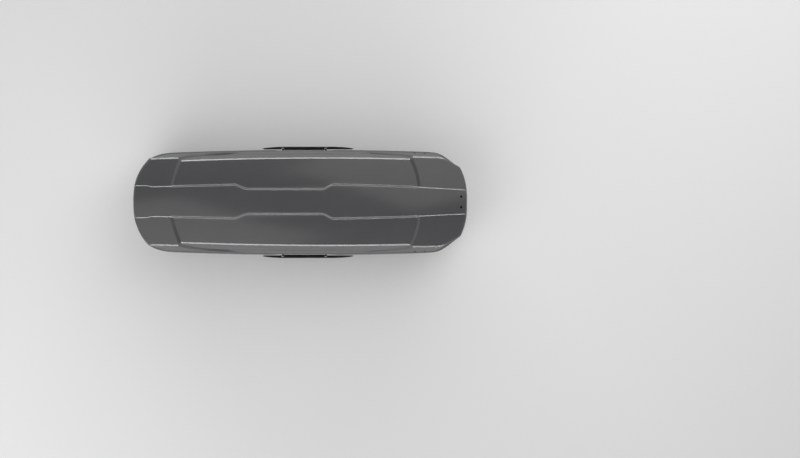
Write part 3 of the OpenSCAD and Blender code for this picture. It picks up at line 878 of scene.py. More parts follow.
class PatternTrees:
    """The Geometry Nodes trees, each built once."""

    SHARP: ClassVar[float] = math.radians(35)

    def __init__(self) -> None:
        """Builds the trees."""
        self.by_pattern = {Pattern.SET_OUT: self._set_out(), Pattern.SWEEP: self._sweep(),
                           Pattern.SMOOTH: self._smooth()}

    @staticmethod
    def _new(pattern: Pattern, takes: dict[str, str | float]) -> Graph:
        """Starts the tree of a pattern, which takes and gives geometry."""
        return Graph.group(pattern.value, "GeometryNodeTree", {"Geometry": "Geometry", **takes},
                           {"Geometry": "Geometry"})

    @classmethod
    def _set_out(cls) -> bpy.types.NodeTree:
        """One shape on every point, its Z along "aim" and its X along "along".

        Returns:
            The tree.
        """
        g = cls._new(Pattern.SET_OUT, {"Shape": "Object", "Scale": 1.0, "Material": "Material"})
        g.add("shape", "GeometryNodeObjectInfo")
        for name, axis, pivot in (("aim", "Z", "AUTO"), ("along", "X", "Z")):
            g.add(f"read_{name}", "GeometryNodeInputNamedAttribute", {"Name": name},
                  data_type="FLOAT_VECTOR")
            g.add(f"turn_{name}", "FunctionNodeAlignRotationToVector", axis=axis, pivot_axis=pivot)
            g.wire(f"read_{name}.Attribute > turn_{name}.Vector")
        g.add("place", "GeometryNodeInstanceOnPoints")
        g.add("real", "GeometryNodeRealizeInstances")
        g.add("paint", "GeometryNodeSetMaterial")
        g.wire("turn_aim.Rotation > turn_along.Rotation", "in.Shape > shape.Object",
               "in.Geometry > place.Points", "shape.Geometry > place.Instance",
               "turn_along.Rotation > place.Rotation", "in.Scale > place.Scale",
               "place.Instances > real.Geometry", "real.Geometry > paint.Geometry",
               "in.Material > paint.Material", "paint.Geometry > out.Geometry")
        return g.tree

    @classmethod
    def _sweep(cls) -> bpy.types.NodeTree:
        """A bulb on a flat foot, swept along a path.

        Returns:
            The tree.
        """
        g = cls._new(Pattern.SWEEP, {"Step": 0.006, "Bulb Radius": 0.001, "Foot Width": 0.003,
                                     "Foot Height": 0.001, "Foot Drop": 0.001, "Material": "Material"})
        g.add("curve", "GeometryNodeMeshToCurve")
        g.add("even", "GeometryNodeResampleCurve", mode="LENGTH")
        g.add("up", "GeometryNodeSetCurveNormal", mode="Z_UP")
        g.add("bulb", "GeometryNodeCurvePrimitiveCircle", {"Resolution": 14})
        g.add("foot", "GeometryNodeCurvePrimitiveQuadrilateral")
        g.add("drop", "ShaderNodeCombineXYZ")
        g.add("move", "GeometryNodeTransform")
        g.add("both", "GeometryNodeJoinGeometry")
        g.add("sweep", "GeometryNodeCurveToMesh", {"Fill Caps": True})
        g.add("real", "GeometryNodeRealizeInstances")
        g.add("paint", "GeometryNodeSetMaterial")
        g.wire("in.Geometry > curve.Mesh", "curve.Curve > even.Curve", "in.Step > even.Length",
               "even.Curve > up.Curve", "in.Bulb Radius > bulb.Radius", "in.Foot Width > foot.Width",
               "in.Foot Height > foot.Height", "in.Foot Drop > drop.Y", "foot.Curve > move.Geometry",
               "drop.Vector > move.Translation", "bulb.Curve > both.Geometry",
               "move.Geometry > both.Geometry", "up.Curve > sweep.Curve",
               "both.Geometry > sweep.Profile Curve", "sweep.Mesh > real.Geometry",
               "real.Geometry > paint.Geometry", "in.Material > paint.Material",
               "paint.Geometry > out.Geometry")
        return g.tree

    @classmethod
    def _smooth(cls) -> bpy.types.NodeTree:
        """Smooth shading, but for edges sharper than an angle.

        Returns:
            The tree.
        """
        g = cls._new(Pattern.SMOOTH, {"Angle": cls.SHARP})
        g.add("faces", "GeometryNodeSetShadeSmooth", domain="FACE")
        g.add("edges", "GeometryNodeSetShadeSmooth", {"Shade Smooth": False}, domain="EDGE")
        g.add("angle", "GeometryNodeInputMeshEdgeAngle")
        g.add("sharp", "FunctionNodeCompare", operation="GREATER_THAN")
        g.wire("in.Geometry > faces.Geometry", "faces.Geometry > edges.Geometry",
               "angle.Unsigned Angle > sharp.A", "in.Angle > sharp.B", "sharp.Result > edges.Selection",
               "edges.Geometry > out.Geometry")
        return g.tree

    def add(self, obj: Object, pattern: Pattern, values: dict[str, object]) -> None:
        """Puts a tree on an object and sets its named inputs.

        Args:
            obj: The object.
            pattern: Which tree.
            values: Input values by name.
        """
        tree = self.by_pattern[pattern]
        mod = obj.modifiers.new(pattern.value, "NODES")
        mod.node_group = tree
        for item in tree.interface.items_tree:
            if item.item_type == "SOCKET" and item.in_out == "INPUT" and item.name in values:
                mod[item.identifier] = values[item.name]

    def sweep(self, name: str, path: Object, values: dict[str, object]) -> Object:
        """Sweeps the seal's section along a path object, which becomes the piece."""
        self.add(path, Pattern.SWEEP, values)
        return baked(path, name)

    def set_out(self, name: str, shape: Object, points: Array, aims: Array | Point, along: Array | Point,
                material: Material) -> Object:
        """Sets copies of a shape out on points.

        Args:
            name: Name of the piece.
            shape: The shape, which is used up.
            points: Places in millimetres.
            aims: Direction of the shape's Z, one for all or one for each point.
            along: Direction of the shape's X, likewise.
            material: Finish of the copies.

        Returns:
            The piece, one plain mesh.
        """
        obj = plain_object(name, np.asarray(points) * MM, [], [])
        for key, rows in (("aim", aims), ("along", along)):
            attr = obj.data.attributes.new(key, "FLOAT_VECTOR", "POINT")
            every = np.broadcast_to(np.asarray(rows, dtype=float), (len(points), 3))
            attr.data.foreach_set("vector", every.ravel())
        self.add(obj, Pattern.SET_OUT, {"Shape": shape, "Scale": 1.0, "Material": material})
        piece = baked(obj, name)
        bpy.data.objects.remove(shape)
        return piece


def baked(obj: Object, name: str) -> Object:
    """Turns an object's evaluated shape into its plain mesh.

    Args:
        obj: Object with modifiers, which are taken off.
        name: Name of the finished piece.

    Returns:
        The same object.
    """
    graph = bpy.context.evaluated_depsgraph_get()
    mesh = bpy.data.meshes.new_from_object(obj.evaluated_get(graph))
    obj.modifiers.clear()
    obj.data = mesh
    obj.name = mesh.name = name
    return obj


def lathe(name: str, profile: tuple[Pair, ...], sides: int, material: Material,
          socket_sides: int = 0) -> Object:
    """A turned shape about Z, with an optional polygon socket in its first rows.

    Args:
        name: Name of the shape.
        profile: Radius and height in millimetres, from the top of the axis down and out.
        sides: Number of sides.
        material: Its finish.
        socket_sides: Sides of the socket's polygon; 0 for none.

    Returns:
        The shape.
    """
    turn = np.linspace(0, 2 * math.pi, sides, endpoint=False)
    verts = [(0.0, 0.0, profile[0][1])]
    for k, (r, z) in enumerate(profile[1:]):
        rr = np.full(sides, r)
        if socket_sides and k < 2:
            part = math.pi / socket_sides
            rr = r * math.cos(part) / np.cos(np.mod(turn, 2 * part) - part)
        verts += [(a * math.cos(t), a * math.sin(t), z) for a, t in zip(rr, turn)]
    loops = [1 + k * sides + np.arange(sides) for k in range(len(profile) - 1)]
    faces = [(0, 1 + j, 1 + (j + 1) % sides) for j in range(sides)]
    for a, b in zip(loops[:-1], loops[1:]):
        faces += zip(a.tolist(), b.tolist(), np.roll(b, -1).tolist(), np.roll(a, -1).tolist())
    faces.append(tuple(loops[-1][::-1].tolist()))
    return mesh_object(name, np.array(verts) * MM, faces, material)


def rounded_bar(name: str, size: Point, radius: float, material: Material) -> Object:
    """A bar whose top edges are rounded, standing on Z = 0.

    Args:
        name: Name of the shape.
        size: Length along X, width along Y and height, in millimetres.
        radius: Radius of its upper edges.
        material: Its finish.

    Returns:
        The shape.
    """
    lx, ly, h = size[0] / 2, size[1] / 2, size[2]
    rows = [(0.0, 0.0), (0.0, h - radius)]
    rows += [(radius * (1 - math.cos(a)), h - radius * (1 - math.sin(a))) for a in np.radians([30, 60, 90])]
    verts, corners = [], ((-1, -1), (1, -1), (1, 1), (-1, 1))
    for inset, z in rows:
        verts += [(sx * (lx - inset), sy * (ly - inset), z) for sx, sy in corners]
    loops = [4 * k + np.arange(4) for k in range(len(rows))]
    faces = bands(loops) + [(3, 2, 1, 0), tuple(loops[-1].tolist())]
    return mesh_object(name, np.array(verts) * MM, faces, material)


def both_sides(*names: str) -> list[str]:
    """Names of a left and a right piece for each name."""
    return [f"{side.name.lower()}_{name}" for name in names for side in Side]


def four_corners(name: str) -> list[str]:
    """Names of the four pieces that stand at the corners."""
    return [f"{end}_{piece}" for end in ("front", "rear") for piece in both_sides(name)]


def each(names: list[str], width: float) -> dict[str, float]:
    """The same edge width for each name."""
    return dict.fromkeys(names, width)


@dataclass
class SolidGroup:
    """Pieces that keep the shape of their solids and get a finish and soft edges."""

    edge_mm: dict[str, float] = field(default_factory=dict)

    WELD_AT: ClassVar[float] = 1e-5
    FLAT_BELOW: ClassVar[float] = math.radians(1.0)
    EDGE_ABOVE: ClassVar[float] = math.radians(32)

    def dress(self, finishes: Finishes, trees: PatternTrees) -> None:
        """Dresses each piece of the group.

        Args:
            finishes: Materials by slot.
            trees: Geometry Nodes trees.
        """
        slots = {row["node"]: row["material_slot"] for row in frame["record"]["subparts"]}
        for name, width in self.edge_mm.items():
            obj = frame["nodes"][name]
            obj.data.materials.clear()
            obj.data.materials.append(finishes[slots[name]])
            weld = obj.modifiers.new("weld", "WELD")
            weld.merge_threshold = self.WELD_AT
            flat = obj.modifiers.new("flats", "DECIMATE")
            flat.decimate_type = "DISSOLVE"
            flat.angle_limit = self.FLAT_BELOW
            bevel = obj.modifiers.new("soft_edges", "BEVEL")
            bevel.width = width * MM
            bevel.segments = 2
            bevel.limit_method = "ANGLE"
            bevel.angle_limit = self.EDGE_ABOVE
            trees.add(obj, Pattern.SMOOTH, {"Angle": trees.SHARP})
            LOG.info("%s: soft edges of %.1f mm", name, width)


@dataclass
class LidFittings(SolidGroup):
    """Rivets and stiffening bows of the lid (millimetres and degrees)."""

    edge_mm: dict[str, float] = field(default_factory=lambda: {"lid_bows": 0.8})
    nose_rivets: Pair = (911.0, 29.5)
    nose_sink: float = 0.15
    nose_tilt: float = 17.5
    side_rivets: tuple[float, ...] = (652.0, 709.0)
    side_z: float = 160.0
    side_lean: float = 8.0
    # Head profile: a flat top and a thin black washer flange out to 6.2 mm. The flange widens the dark spot
    # and so also stands in for the shade of a gap round the rivet.
    head: tuple[Pair, ...] = ((0.0, 2.2), (1.8, 2.2), (3.3, 2.1), (4.1, 1.8), (4.6, 1.3), (4.8, 0.6),
                              (5.9, 0.55), (6.2, 0.3), (6.2, -0.5), (2.4, -0.8), (2.4, -5.0))
    head_sides: int = 20

    def build(self, lid: LidShell, finishes: Finishes, trees: PatternTrees) -> None:
        """Builds the rivets.

        Args:
            lid: The lid that carries them.
            finishes: Materials by slot.
            trees: Geometry Nodes trees.
        """
        x, y = self.nose_rivets
        z = float(lid.skin_z(np.array([x]), np.array([0.0]))[0]) + lid.spine_raise - self.nose_sink
        tilt, lean = math.radians(self.nose_tilt), math.radians(self.side_lean)
        points = [(x, s.value * y, z) for s in Side]
        aims = [(math.sin(tilt), 0.0, math.cos(tilt)) for _ in Side]
        along = [(0.0, 1.0, 0.0) for _ in Side]
        for s in Side:
            for px in self.side_rivets:
                points.append((px, s.value * lid.cap_face(px, self.side_z, lid.barrel), self.side_z))
                aims.append((0.0, s.value * math.cos(lean), math.sin(lean)))
                along.append((1.0, 0.0, 0.0))
        head = lathe("rivet_shape", self.head, self.head_sides, finishes["rivet_black"])
        piece = trees.set_out("lid_rivet_heads", head, np.array(points), np.array(aims), np.array(along),
                              finishes["rivet_black"])
        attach(piece, "lid")
        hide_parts("lid_rivets")
        LOG.info("lid_rivet_heads: %d rivets", len(points))


@dataclass
class BaseTray(BoxPlan):
    """The moulded tray: keel, rising ends, drafted walls and flange (sizes in millimetres)."""

    wall: float = 3.5
    flange_z: float = 114.5
    side_y: float = 267.0
    side_soft: float = 4.0
    wall_in: float = 33.0
    flange_in: float = 16.0
    flange_round: tuple[Pair, ...] = ((0.9, 0.0), (0.2, 0.3), (0.0, 1.0))
    ledge_out: float = 1.2
    ledge_drop: float = 0.3
    draft: float = 13.0
    floor_round: float = 28.0
    draft_share: float = 0.73
    front_rise: tuple[float, ...] = (520.0, 397.0, 70.0, 1.8)
    rear_rise: tuple[float, ...] = (600.0, 317.0, 45.0, 1.8)
    keel: tuple[float, float, float] = (105.0, 120.0, 8.0)
    keel_soft: float = 3.0
    runs: tuple[tuple[float, float, int], ...] = ((BoxPlan.REAR_CORNER, -560, 22), (-560, 500, 20),
                                                  (500, BoxPlan.FRONT_CORNER, 30))
    bow_line: Curve = ((BoxPlan.REAR_CORNER, -560, 640, BoxPlan.FRONT_CORNER), (84, 0, 0, -40))
    bow_power: float = 2.68
    floor_lines: tuple[float, ...] = (0, 35, 70, 95, 102, 105, 108, 112.5, 117, 120, 123, 130)
    floor_edge: Pair = (6.0, 140.0)
    floor_shares: tuple[float, ...] = (0.2, 0.4, 0.6, 0.8, 1.0)
    wall_steps: tuple[float, ...] = (38.0, 34.5, 31.0, 27.5, 24.0, 21.0, 18.5, 16.3, 14.6, 13.5, 13.0,
                                     9.5, 6.0, 2.5, 0.0)
    slot: tuple[float, float, float] = (118.0, 18.0, 3.0)
    slot_z: Pair = (-6.0, 34.0)
    clamp_x: Pair = (-342.0, 388.0)
    clamp_y: float = 180.0
    lock: tuple[float, float, float] = (60.0, 58.0, 17.95)
    lock_y: Pair = (238.0, 50.0)
    sharp: float = math.radians(40)
    beads: tuple[float, ...] = (-560.0, -480.0, -120.0, 0.0, 120.0)
    bead_size: Point = (190.0, 12.0, 4.5)
    bead_round: float = 3.0
    bead_sink: float = 0.5

    def base_z(self, x: Array, y: Array) -> Array:
        """Height of the tray's underside away from its walls.

        Args:
            x: Place along the box.
            y: Distance from the middle.

        Returns:
            Height at each point.
        """
        a, b, h = self.keel
        side = h * soft_ramp(np.abs(y), a, b, self.keel_soft)
        return np.maximum(rise(x, *self.front_rise) + rise(-x, *self.rear_rise), side)

    def wall_share(self, d: float) -> float:
        """Share of the wall's height at a distance inside its top edge.

        Args:
            d: The distance.

        Returns:
            1 at the top edge to 0 on the floor.
        """
        if d <= self.draft:
            return 1 - self.draft_share * d / self.draft
        t = min(1.0, (d - self.draft) / self.floor_round)
        return (1 - self.draft_share) * (1 - math.sqrt(1 - (1 - t) ** 2))

    def half_y(self, s: Array, d: float, flange: bool) -> Array:
        """Half width of the tray, drawn in from the lip's plan.

        Args:
            s: Station of each point.
            d: Distance inside the lip's plan.
            flange: True for the flange's own outline.

        Returns:
            Half width at each station.
        """
        if flange:
            return self.rim_y(s) * (1 - (d + self.relief(s)) / self.HALF_WIDTH)
        straight = self.side_y - (d - self.wall_in)
        return soft_min(straight, self.rim_y(s) * (1 - d / self.HALF_WIDTH), self.side_soft)

    def ring(self, s: Array, v: Array, side: Array, d: float, flange: bool = False) -> Array:
        """Plan points of one ring round the tray.

        Args:
            s: Station of each point.
            v: Share of the half width, -1 to 1.
            side: True on the long sides.
            d: Distance inside the lip's plan.
            flange: True for the flange's own outline.

        Returns:
            X and Y of each point.
        """
        end = np.where(s > 0, self.end_x(v, True), self.end_x(v, False))
        x = np.where(side, s, end) * (1 - d / self.HALF_LENGTH)
        return np.stack([x, v * self.half_y(s, d, flange)], -1)

    def _floor(self, s: Array) -> tuple[Array, Array, Array]:
        """Underside of the floor.

        Args:
            s: Stations along the box.

        Returns:
            Y of the grid, its half width at each station, and its points, one row each.
        """
        deep = self.wall_in + (self.draft + self.floor_round)
        floor_y = self.half_y(s, deep, False)
        gap, span = self.floor_edge
        inner = np.outer(np.minimum(1, (floor_y - gap) / span), self.floor_lines)
        outer = [inner[:, -1] + (floor_y - inner[:, -1]) * t for t in self.floor_shares]
        half = np.concatenate([inner, np.stack(outer, 1)], 1)
        y = np.concatenate([-half[:, :0:-1], half], 1)
        bow = np.interp(s, *self.bow_line)[:, None]
        x = (s[:, None] - bow + bow * np.power(np.abs(y / floor_y[:, None]), self.bow_power))
        x = x * (1 - deep / self.HALF_LENGTH)
        return y, floor_y, np.stack([x.ravel(), y.ravel(), self.base_z(x.ravel(), y.ravel())], -1)

    def _rings(self, s: Array, v: Array, side: Array) -> list[Array]:
        """Rings up the outer skin, round the flange and down the inner skin.

        Args:
            s: Station of each point.
            v: Share of the half width, -1 to 1.
            side: True on the long sides.

        Returns:
            The rings in that order.
        """
        under, top = self.flange_z - self.wall, self.flange_z

        def wall_ring(d: float, lift: float, rim: float) -> Array:
            """Ring of the outer skin, or of the inner one when lifted.

            Args:
                d: Distance inside the top edge of the wall.
                lift: Thickness between the skins, 0 on the outer one.
                rim: Height of the top edge.

            Returns:
                Points, one row each.
            """
            xy = self.ring(s, v, side, self.wall_in + d + lift)
            base = self.base_z(xy[:, 0], xy[:, 1]) + lift
            return np.column_stack([xy, base + (rim - base) * self.wall_share(d)])

        def flat_ring(d: float, z: float, flange: bool) -> Array:
            """Ring of the flange at height z."""
            return np.column_stack([self.ring(s, v, side, d, flange), np.full(len(s), z)])

        rings = [wall_ring(d, 0.0, under) for d in self.wall_steps]
        rings += [flat_ring(self.flange_in + d, under + z, True) for d, z in self.flange_round]
        rings += [flat_ring(self.flange_in + d, top - z, True) for d, z in reversed(self.flange_round)]
        rings.append(flat_ring(self.wall_in + self.wall - self.ledge_out, top, False))
        for d in reversed(self.wall_steps):
            rings.append(wall_ring(d, self.wall, top - (0.0 if d else self.ledge_drop)))
        return rings

    def build(self, finishes: Finishes, trees: PatternTrees) -> None:
        """Builds the tray and its floor beads.

        Args:
            finishes: Materials by slot.
            trees: Geometry Nodes trees.
        """
        s = np.unique(np.concatenate([np.linspace(*run) for run in self.runs]))
        y, floor_y, low = self._floor(s)
        nu, nv = y.shape
        ei, ej = border(nu, nv)
        rings = self._rings(s[ei], y[ei, ej] / floor_y[ei], (ej == 0) | (ej == nv - 1))
        high = low + np.array([0.0, 0.0, self.wall])
        high[:, :2] *= 1 - self.wall / self.HALF_LENGTH
        edge, m, n = ei * nv + ej, len(ei), nu * nv
        upper = n + len(rings) * m
        loops = [edge] + [n + r * m + np.arange(m) for r in range(len(rings))] + [upper + edge]
        floor = [(i * nv + j, i * nv + j + 1, (i + 1) * nv + j + 1, (i + 1) * nv + j)
                 for i in range(nu - 1) for j in range(nv - 1)]
        faces = floor + [tuple(c + upper for c in reversed(q)) for q in floor] + bands(loops)
        verts = np.concatenate([low] + rings + [high])
        obj = mesh_object("tray_moulding", verts * MM, faces, finishes["tray_plastic"])
        self._cut(obj, trees)
        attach(obj, "base")
        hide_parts("base_tray")
        LOG.info("tray_moulding: %d faces", len(obj.data.polygons))
        self._beads(finishes, trees)

    def _cut(self, obj: Object, trees: PatternTrees) -> None:
        """Cuts the clamp slots and the lock holes.

        Args:
            obj: The tray.
            trees: Geometry Nodes trees.
        """
        verts, faces = [], []

        def prism(loop: Array, step: Point) -> None:
            """Adds a prism from a loop of points along a step.

            Args:
                loop: Corners of one end.
                step: Way to the other end.
            """
            k, m = len(verts), len(loop)
            verts.extend(map(tuple, np.concatenate([loop, loop + np.array(step)])))
            near = k + np.arange(m)
            faces.append(tuple(near[::-1].tolist()))
            faces.append(tuple((near + m).tolist()))
            faces.extend(bands([near, near + m]))

        hx, hy, r = self.slot
        turn = np.radians(np.arange(0, 360, 15))
        rim = np.stack([np.sign(np.round(np.cos(turn), 6)) * (hx - r) + r * np.cos(turn),
                        np.sign(np.round(np.sin(turn), 6)) * (hy - r) + r * np.sin(turn)], -1)
        slot_foot, slot_deep = self.slot_z
        for cx in self.clamp_x:
            for s in Side:
                plan = rim + np.array([cx, s.value * self.clamp_y])
                prism(np.column_stack([plan, np.full(len(rim), slot_foot)]), (0.0, 0.0, slot_deep))
        lx, lz, lr = self.lock
        turn = np.radians(np.arange(0, 360, 7.5))
        lock_start, lock_deep = self.lock_y
        for s in Side:
            wall_y = np.full(len(turn), s.value * lock_start)
            loop = np.stack([lx + lr * np.cos(turn), wall_y, lz + lr * np.sin(turn)], -1)
            prism(loop if s is Side.RIGHT else loop[::-1], (0.0, s.value * lock_deep, 0.0))
        tool = mesh_object("tray_cutter", np.array(verts) * MM, faces, obj.data.materials[0])
        cut = obj.modifiers.new("slots", "BOOLEAN")
        cut.object, cut.operation, cut.solver = tool, "DIFFERENCE", "EXACT"
        trees.add(obj, Pattern.SMOOTH, {"Angle": self.sharp})
        baked(obj, "tray_moulding")
        bpy.data.objects.remove(tool)

    def _beads(self, finishes: Finishes, trees: PatternTrees) -> None:
        """Rounded beads across the floor between the clamps.

        Args:
            finishes: Materials by slot.
            trees: Geometry Nodes trees.
        """
        bar = rounded_bar("bead_shape", self.bead_size, self.bead_round, finishes["tray_plastic"])
        points = np.array([(x, 0.0, self.wall - self.bead_sink) for x in self.beads])
        piece = trees.set_out("floor_beads", bar, points, (0.0, 0.0, 1.0), (0.0, 1.0, 0.0),
                              finishes["tray_plastic"])
        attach(piece, "base")
        LOG.info("floor_beads: %d beads", len(points))


@dataclass
class RimSeal(BoxPlan):
    """The rubber seal on the tray's flange, in four runs between the hinges (millimetres)."""

    inset: float = 30.75
    foot_z: float = 114.5
    height: float = 3.0
    width: float = 3.4
    foot_height: float = 1.0
    bulb_less: float = 0.25
    step: float = 6.0
    gaps: tuple[Pair, ...] = ((-701.0, -671.0), (659.0, 689.0))

    def path(self) -> Array:
        """Closed line of the seal, once round the box, in plan.

        Returns:
            X and Y of each point.
        """
        v = np.linspace(0, 1, 40)[:-1]
        s = np.linspace(self.REAR_CORNER, self.FRONT_CORNER, 900)
        rear_y, front_y = self.rim_y(np.array([self.REAR_CORNER, self.FRONT_CORNER])).tolist()
        rear = np.stack([self.end_x(v, False), v * rear_y], -1)
        front = np.stack([self.end_x(v[::-1], True), v[::-1] * front_y], -1)
        half = np.concatenate([rear, np.stack([s, self.rim_y(s)], -1), front])
        loop = np.concatenate([half, half[-2:0:-1] * np.array([1.0, -1.0])])
        return loop * np.array([1 - self.inset / self.HALF_LENGTH, 1 - self.inset / self.HALF_WIDTH])

    def build(self, finishes: Finishes, trees: PatternTrees) -> None:
        """Builds the seal.

        Args:
            finishes: Materials by slot.
            trees: Geometry Nodes trees.
        """
        loop = self.path()
        n, radius = len(loop), self.height / 2 - self.bulb_less
        keep = np.all([(loop[:, 0] < a) | (loop[:, 0] > b) for a, b in self.gaps], axis=0)
        points = np.column_stack([loop, np.full(n, self.foot_z + self.height - radius)])
        edges = [(k, (k + 1) % n) for k in range(n) if keep[k] and keep[(k + 1) % n]]
        line = plain_object("seal_path", points * MM, edges, [])
        piece = trees.sweep("rim_seal_bulb", line, {
            "Step": self.step * MM, "Bulb Radius": radius * MM, "Foot Width": self.width * MM,
            "Foot Height": self.foot_height * MM, "Material": finishes["rubber"],
            "Foot Drop": -(self.height - radius - self.foot_height / 2) * MM})
        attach(piece, "base")
        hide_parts("rim_seal")
        LOG.info("rim_seal_bulb: %d faces", len(piece.data.polygons))


@dataclass
class HingeSet(SolidGroup):
    """Cradles, pins and blocks of both hinge lines, with their screws (millimetres)."""

    edge_mm: dict[str, float] = field(default_factory=lambda: {
        **each(both_sides("cradles"), 0.6), **each(both_sides("hinge_pins"), 0.5),
        **each(both_sides("hinge_blocks"), 1.2)})
    station: float = 680.0
    cradle_y: float = 265.0
    cradle_screws: Pair = (-4.0, 4.0)
    flange_under: float = 111.0
    wall_gap: float = 2.1
    block_foot: tuple[float, float, float] = (150.0, 16.0, 142.0)
    block_head: tuple[float, float, float] = (176.0, 9.0, 178.0)
    block_screws: Pair = (-24.0, 32.0)
    screw_share: float = 0.62
    head: tuple[Pair, ...] = ((0.0, 0.7), (1.5, 0.7), (1.5, 2.0), (2.3, 1.95), (3.0, 1.6), (3.4, 1.0),
                              (3.5, 0.0))
    head_sides: int = 24
    socket_sides: int = 6

    def build(self, lid: LidShell, finishes: Finishes, trees: PatternTrees) -> None:
        """Builds the socket-head screws under the cradles and on the blocks.

        Args:
            lid: The lid that carries the blocks.
            finishes: Materials by slot.
            trees: Geometry Nodes trees.
        """
        low, high, aims = [], [], []
        for s in Side:
            for x0 in (-self.station, self.station):
                low += [(x0 + d, s.value * self.cradle_y, self.flange_under) for d in self.cradle_screws]
                foot, head = ((lid.cap_face(x0, at) - self.wall_gap - deep, z)
                              for at, deep, z in (self.block_foot, self.block_head))
                run, climb = head[0] - foot[0], head[1] - foot[1]
                size = math.hypot(run, climb)
                y, z = foot[0] + run * self.screw_share, foot[1] + climb * self.screw_share
                high += [(x0 + d, s.value * y, z) for d in self.block_screws]
                aims += [(0.0, -s.value * climb / size, run / size) for _ in self.block_screws]
        self._screws("cradle_screws", "base", low, (0.0, 0.0, -1.0), finishes, trees, "base_screws")
        self._screws("hinge_block_screws", "lid", high, np.array(aims), finishes, trees)

    def _screws(self, name: str, body: str, points: list[Point], aims: Array | Point, finishes: Finishes,
                trees: PatternTrees, node: str = "") -> None:
        """Builds one set of screws.

        Args:
            name: Name of the piece.
            body: Body that it rides.
            points: Place of each screw.
            aims: Direction of the heads.
            finishes: Materials by slot.
            trees: Geometry Nodes trees.
            node: Node that it stands for, if any.
        """
        shape = lathe("screw_shape", self.head, self.head_sides, finishes["steel"], self.socket_sides)
        piece = trees.set_out(name, shape, np.array(points), aims, (1.0, 0.0, 0.0), finishes["steel"])
        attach(piece, body)
        if node:
            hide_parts(node)
        LOG.info("%s: %d screws", name, len(points))


@dataclass
class LatchSet(SolidGroup):
    """Latch bars, their guides and the key locks."""

    edge_mm: dict[str, float] = field(default_factory=lambda: {
        **each(both_sides("latch_bar"), 0.6), **each(both_sides("latch_guides"), 0.8),
        **each(both_sides("lock_boss"), 0.7), **each(both_sides("lock_barrel"), 0.3)})


@dataclass
class LifterSet(SolidGroup):
    """Gas lifters at both ends, with brackets and sockets."""

    edge_mm: dict[str, float] = field(default_factory=lambda: {
        "lifter_brackets": 0.5, "lifter_sockets": 0.6,
        **each(four_corners("tube"), 0.5), **each(four_corners("rod"), 0.3)})


@dataclass
class HandleSet(SolidGroup):
    """Side handles on their bezels, with finger ribs on the back of each grip (millimetres)."""

    edge_mm: dict[str, float] = field(default_factory=lambda: {
        **each(both_sides("handle"), 1.4), **each(both_sides("handle_bezel"), 0.9)})
    rib_span: Pair = (-70.0, 150.0)
    rib_pitch: float = 7.0
    rib_y: float = 313.6
    rib_z: float = 103.4
    rib_size: Point = (8.0, 2.2, 0.9)
    rib_round: float = 0.7

    def build(self, finishes: Finishes, trees: PatternTrees) -> None:
        """Builds the finger ribs.

        Args:
            finishes: Materials by slot.
            trees: Geometry Nodes trees.
        """
        first, last = self.rib_span
        xs = np.arange(first, last + 0.1, self.rib_pitch)
        for s in Side:
            side = s.name.lower()
            shape = rounded_bar("rib_shape", self.rib_size, self.rib_round, finishes["black_plastic"])
            points = np.array([(x, s.value * self.rib_y, self.rib_z) for x in xs])
            piece = trees.set_out(f"{side}_handle_ribs", shape, points, (0.0, -float(s.value), 0.0),
                                  (0.0, 0.0, 1.0), finishes["black_plastic"])
            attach(piece, f"{side}_handle_body")
            LOG.info("%s_handle_ribs: %d ribs", side, xs.size)


@dataclass
class ClampSet(SolidGroup):
    """Four bar clamps on their floor rails, with ribbed knobs (millimetres and degrees)."""

    edge_mm: dict[str, float] = field(default_factory=lambda: {
        **each(four_corners("clamp"), 1.6), **each(four_corners("knob"), 1.2),
        **each(four_corners("jaw"), 0.9), **each(four_corners("pad"), 0.5),
        **each(both_sides("floor_rail"), 0.5)})
    clamp_x: dict[str, float] = field(default_factory=lambda: {"front": 388.0, "rear": -342.0})
    clamp_y: float = 180.0
    screw_z: float = 38.0
    knob_x: float = 85.0
    knob_r: float = 19.8
    lobes: int = 6
    first_lobe: float = 30.0
    lobe_ribs: tuple[float, ...] = (-9.0, 0.0, 9.0)
    rib_size: Point = (15.0, 2.0, 0.9)
    rib_round: float = 0.6

    def build(self, finishes: Finishes, trees: PatternTrees) -> None:
        """Builds the ribs on the knobs' lobes.

        Args:
            finishes: Materials by slot.
            trees: Geometry Nodes trees.
        """
        lobes = [360.0 / self.lobes * k + self.first_lobe for k in range(self.lobes)]
        turn = np.radians([lobe + d for lobe in lobes for d in self.lobe_ribs])
        out = np.stack([np.zeros(turn.size), np.cos(turn), np.sin(turn)], -1)
        for end, x in self.clamp_x.items():
            for s in Side:
                corner = f"{end}_{s.name.lower()}"
                middle = np.array([x + self.knob_x, s.value * self.clamp_y, self.screw_z])
                shape = rounded_bar("rib_shape", self.rib_size, self.rib_round, finishes["black_plastic"])
                piece = trees.set_out(f"{corner}_knob_ribs", shape, middle + self.knob_r * out, out,
                                      (1.0, 0.0, 0.0), finishes["black_plastic"])
                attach(piece, f"{corner}_clamp_knob")
                LOG.info("%s_knob_ribs: %d ribs", corner, turn.size)


@dataclass(frozen=True)
class Lamp:
    """A soft lamp of a pair, given for the left; the right one is turned half round the box."""

    name: str
    at: Point
    aim: Point
    size: Pair
    watts: float

    def hang(self, side: Side) -> None:
        """Hangs the lamp.

        Args:
            side: Which one of the pair.
        """
        name = f"{side.name.lower()}_{self.name}"
        data = bpy.data.lights.new(name, "AREA")
        data.shape = "RECTANGLE"
        data.size, data.size_y = self.size
        data.energy = self.watts
        obj = bpy.data.objects.new(name, data)
        at = Vector((self.at[0] * side.value, self.at[1] * side.value, self.at[2]))
        obj.location = at
        obj.rotation_euler = (Vector(self.aim) - at).to_track_quat("-Z", "Y").to_euler()
        obj.visible_camera = False
        bpy.context.scene.collection.objects.link(obj)


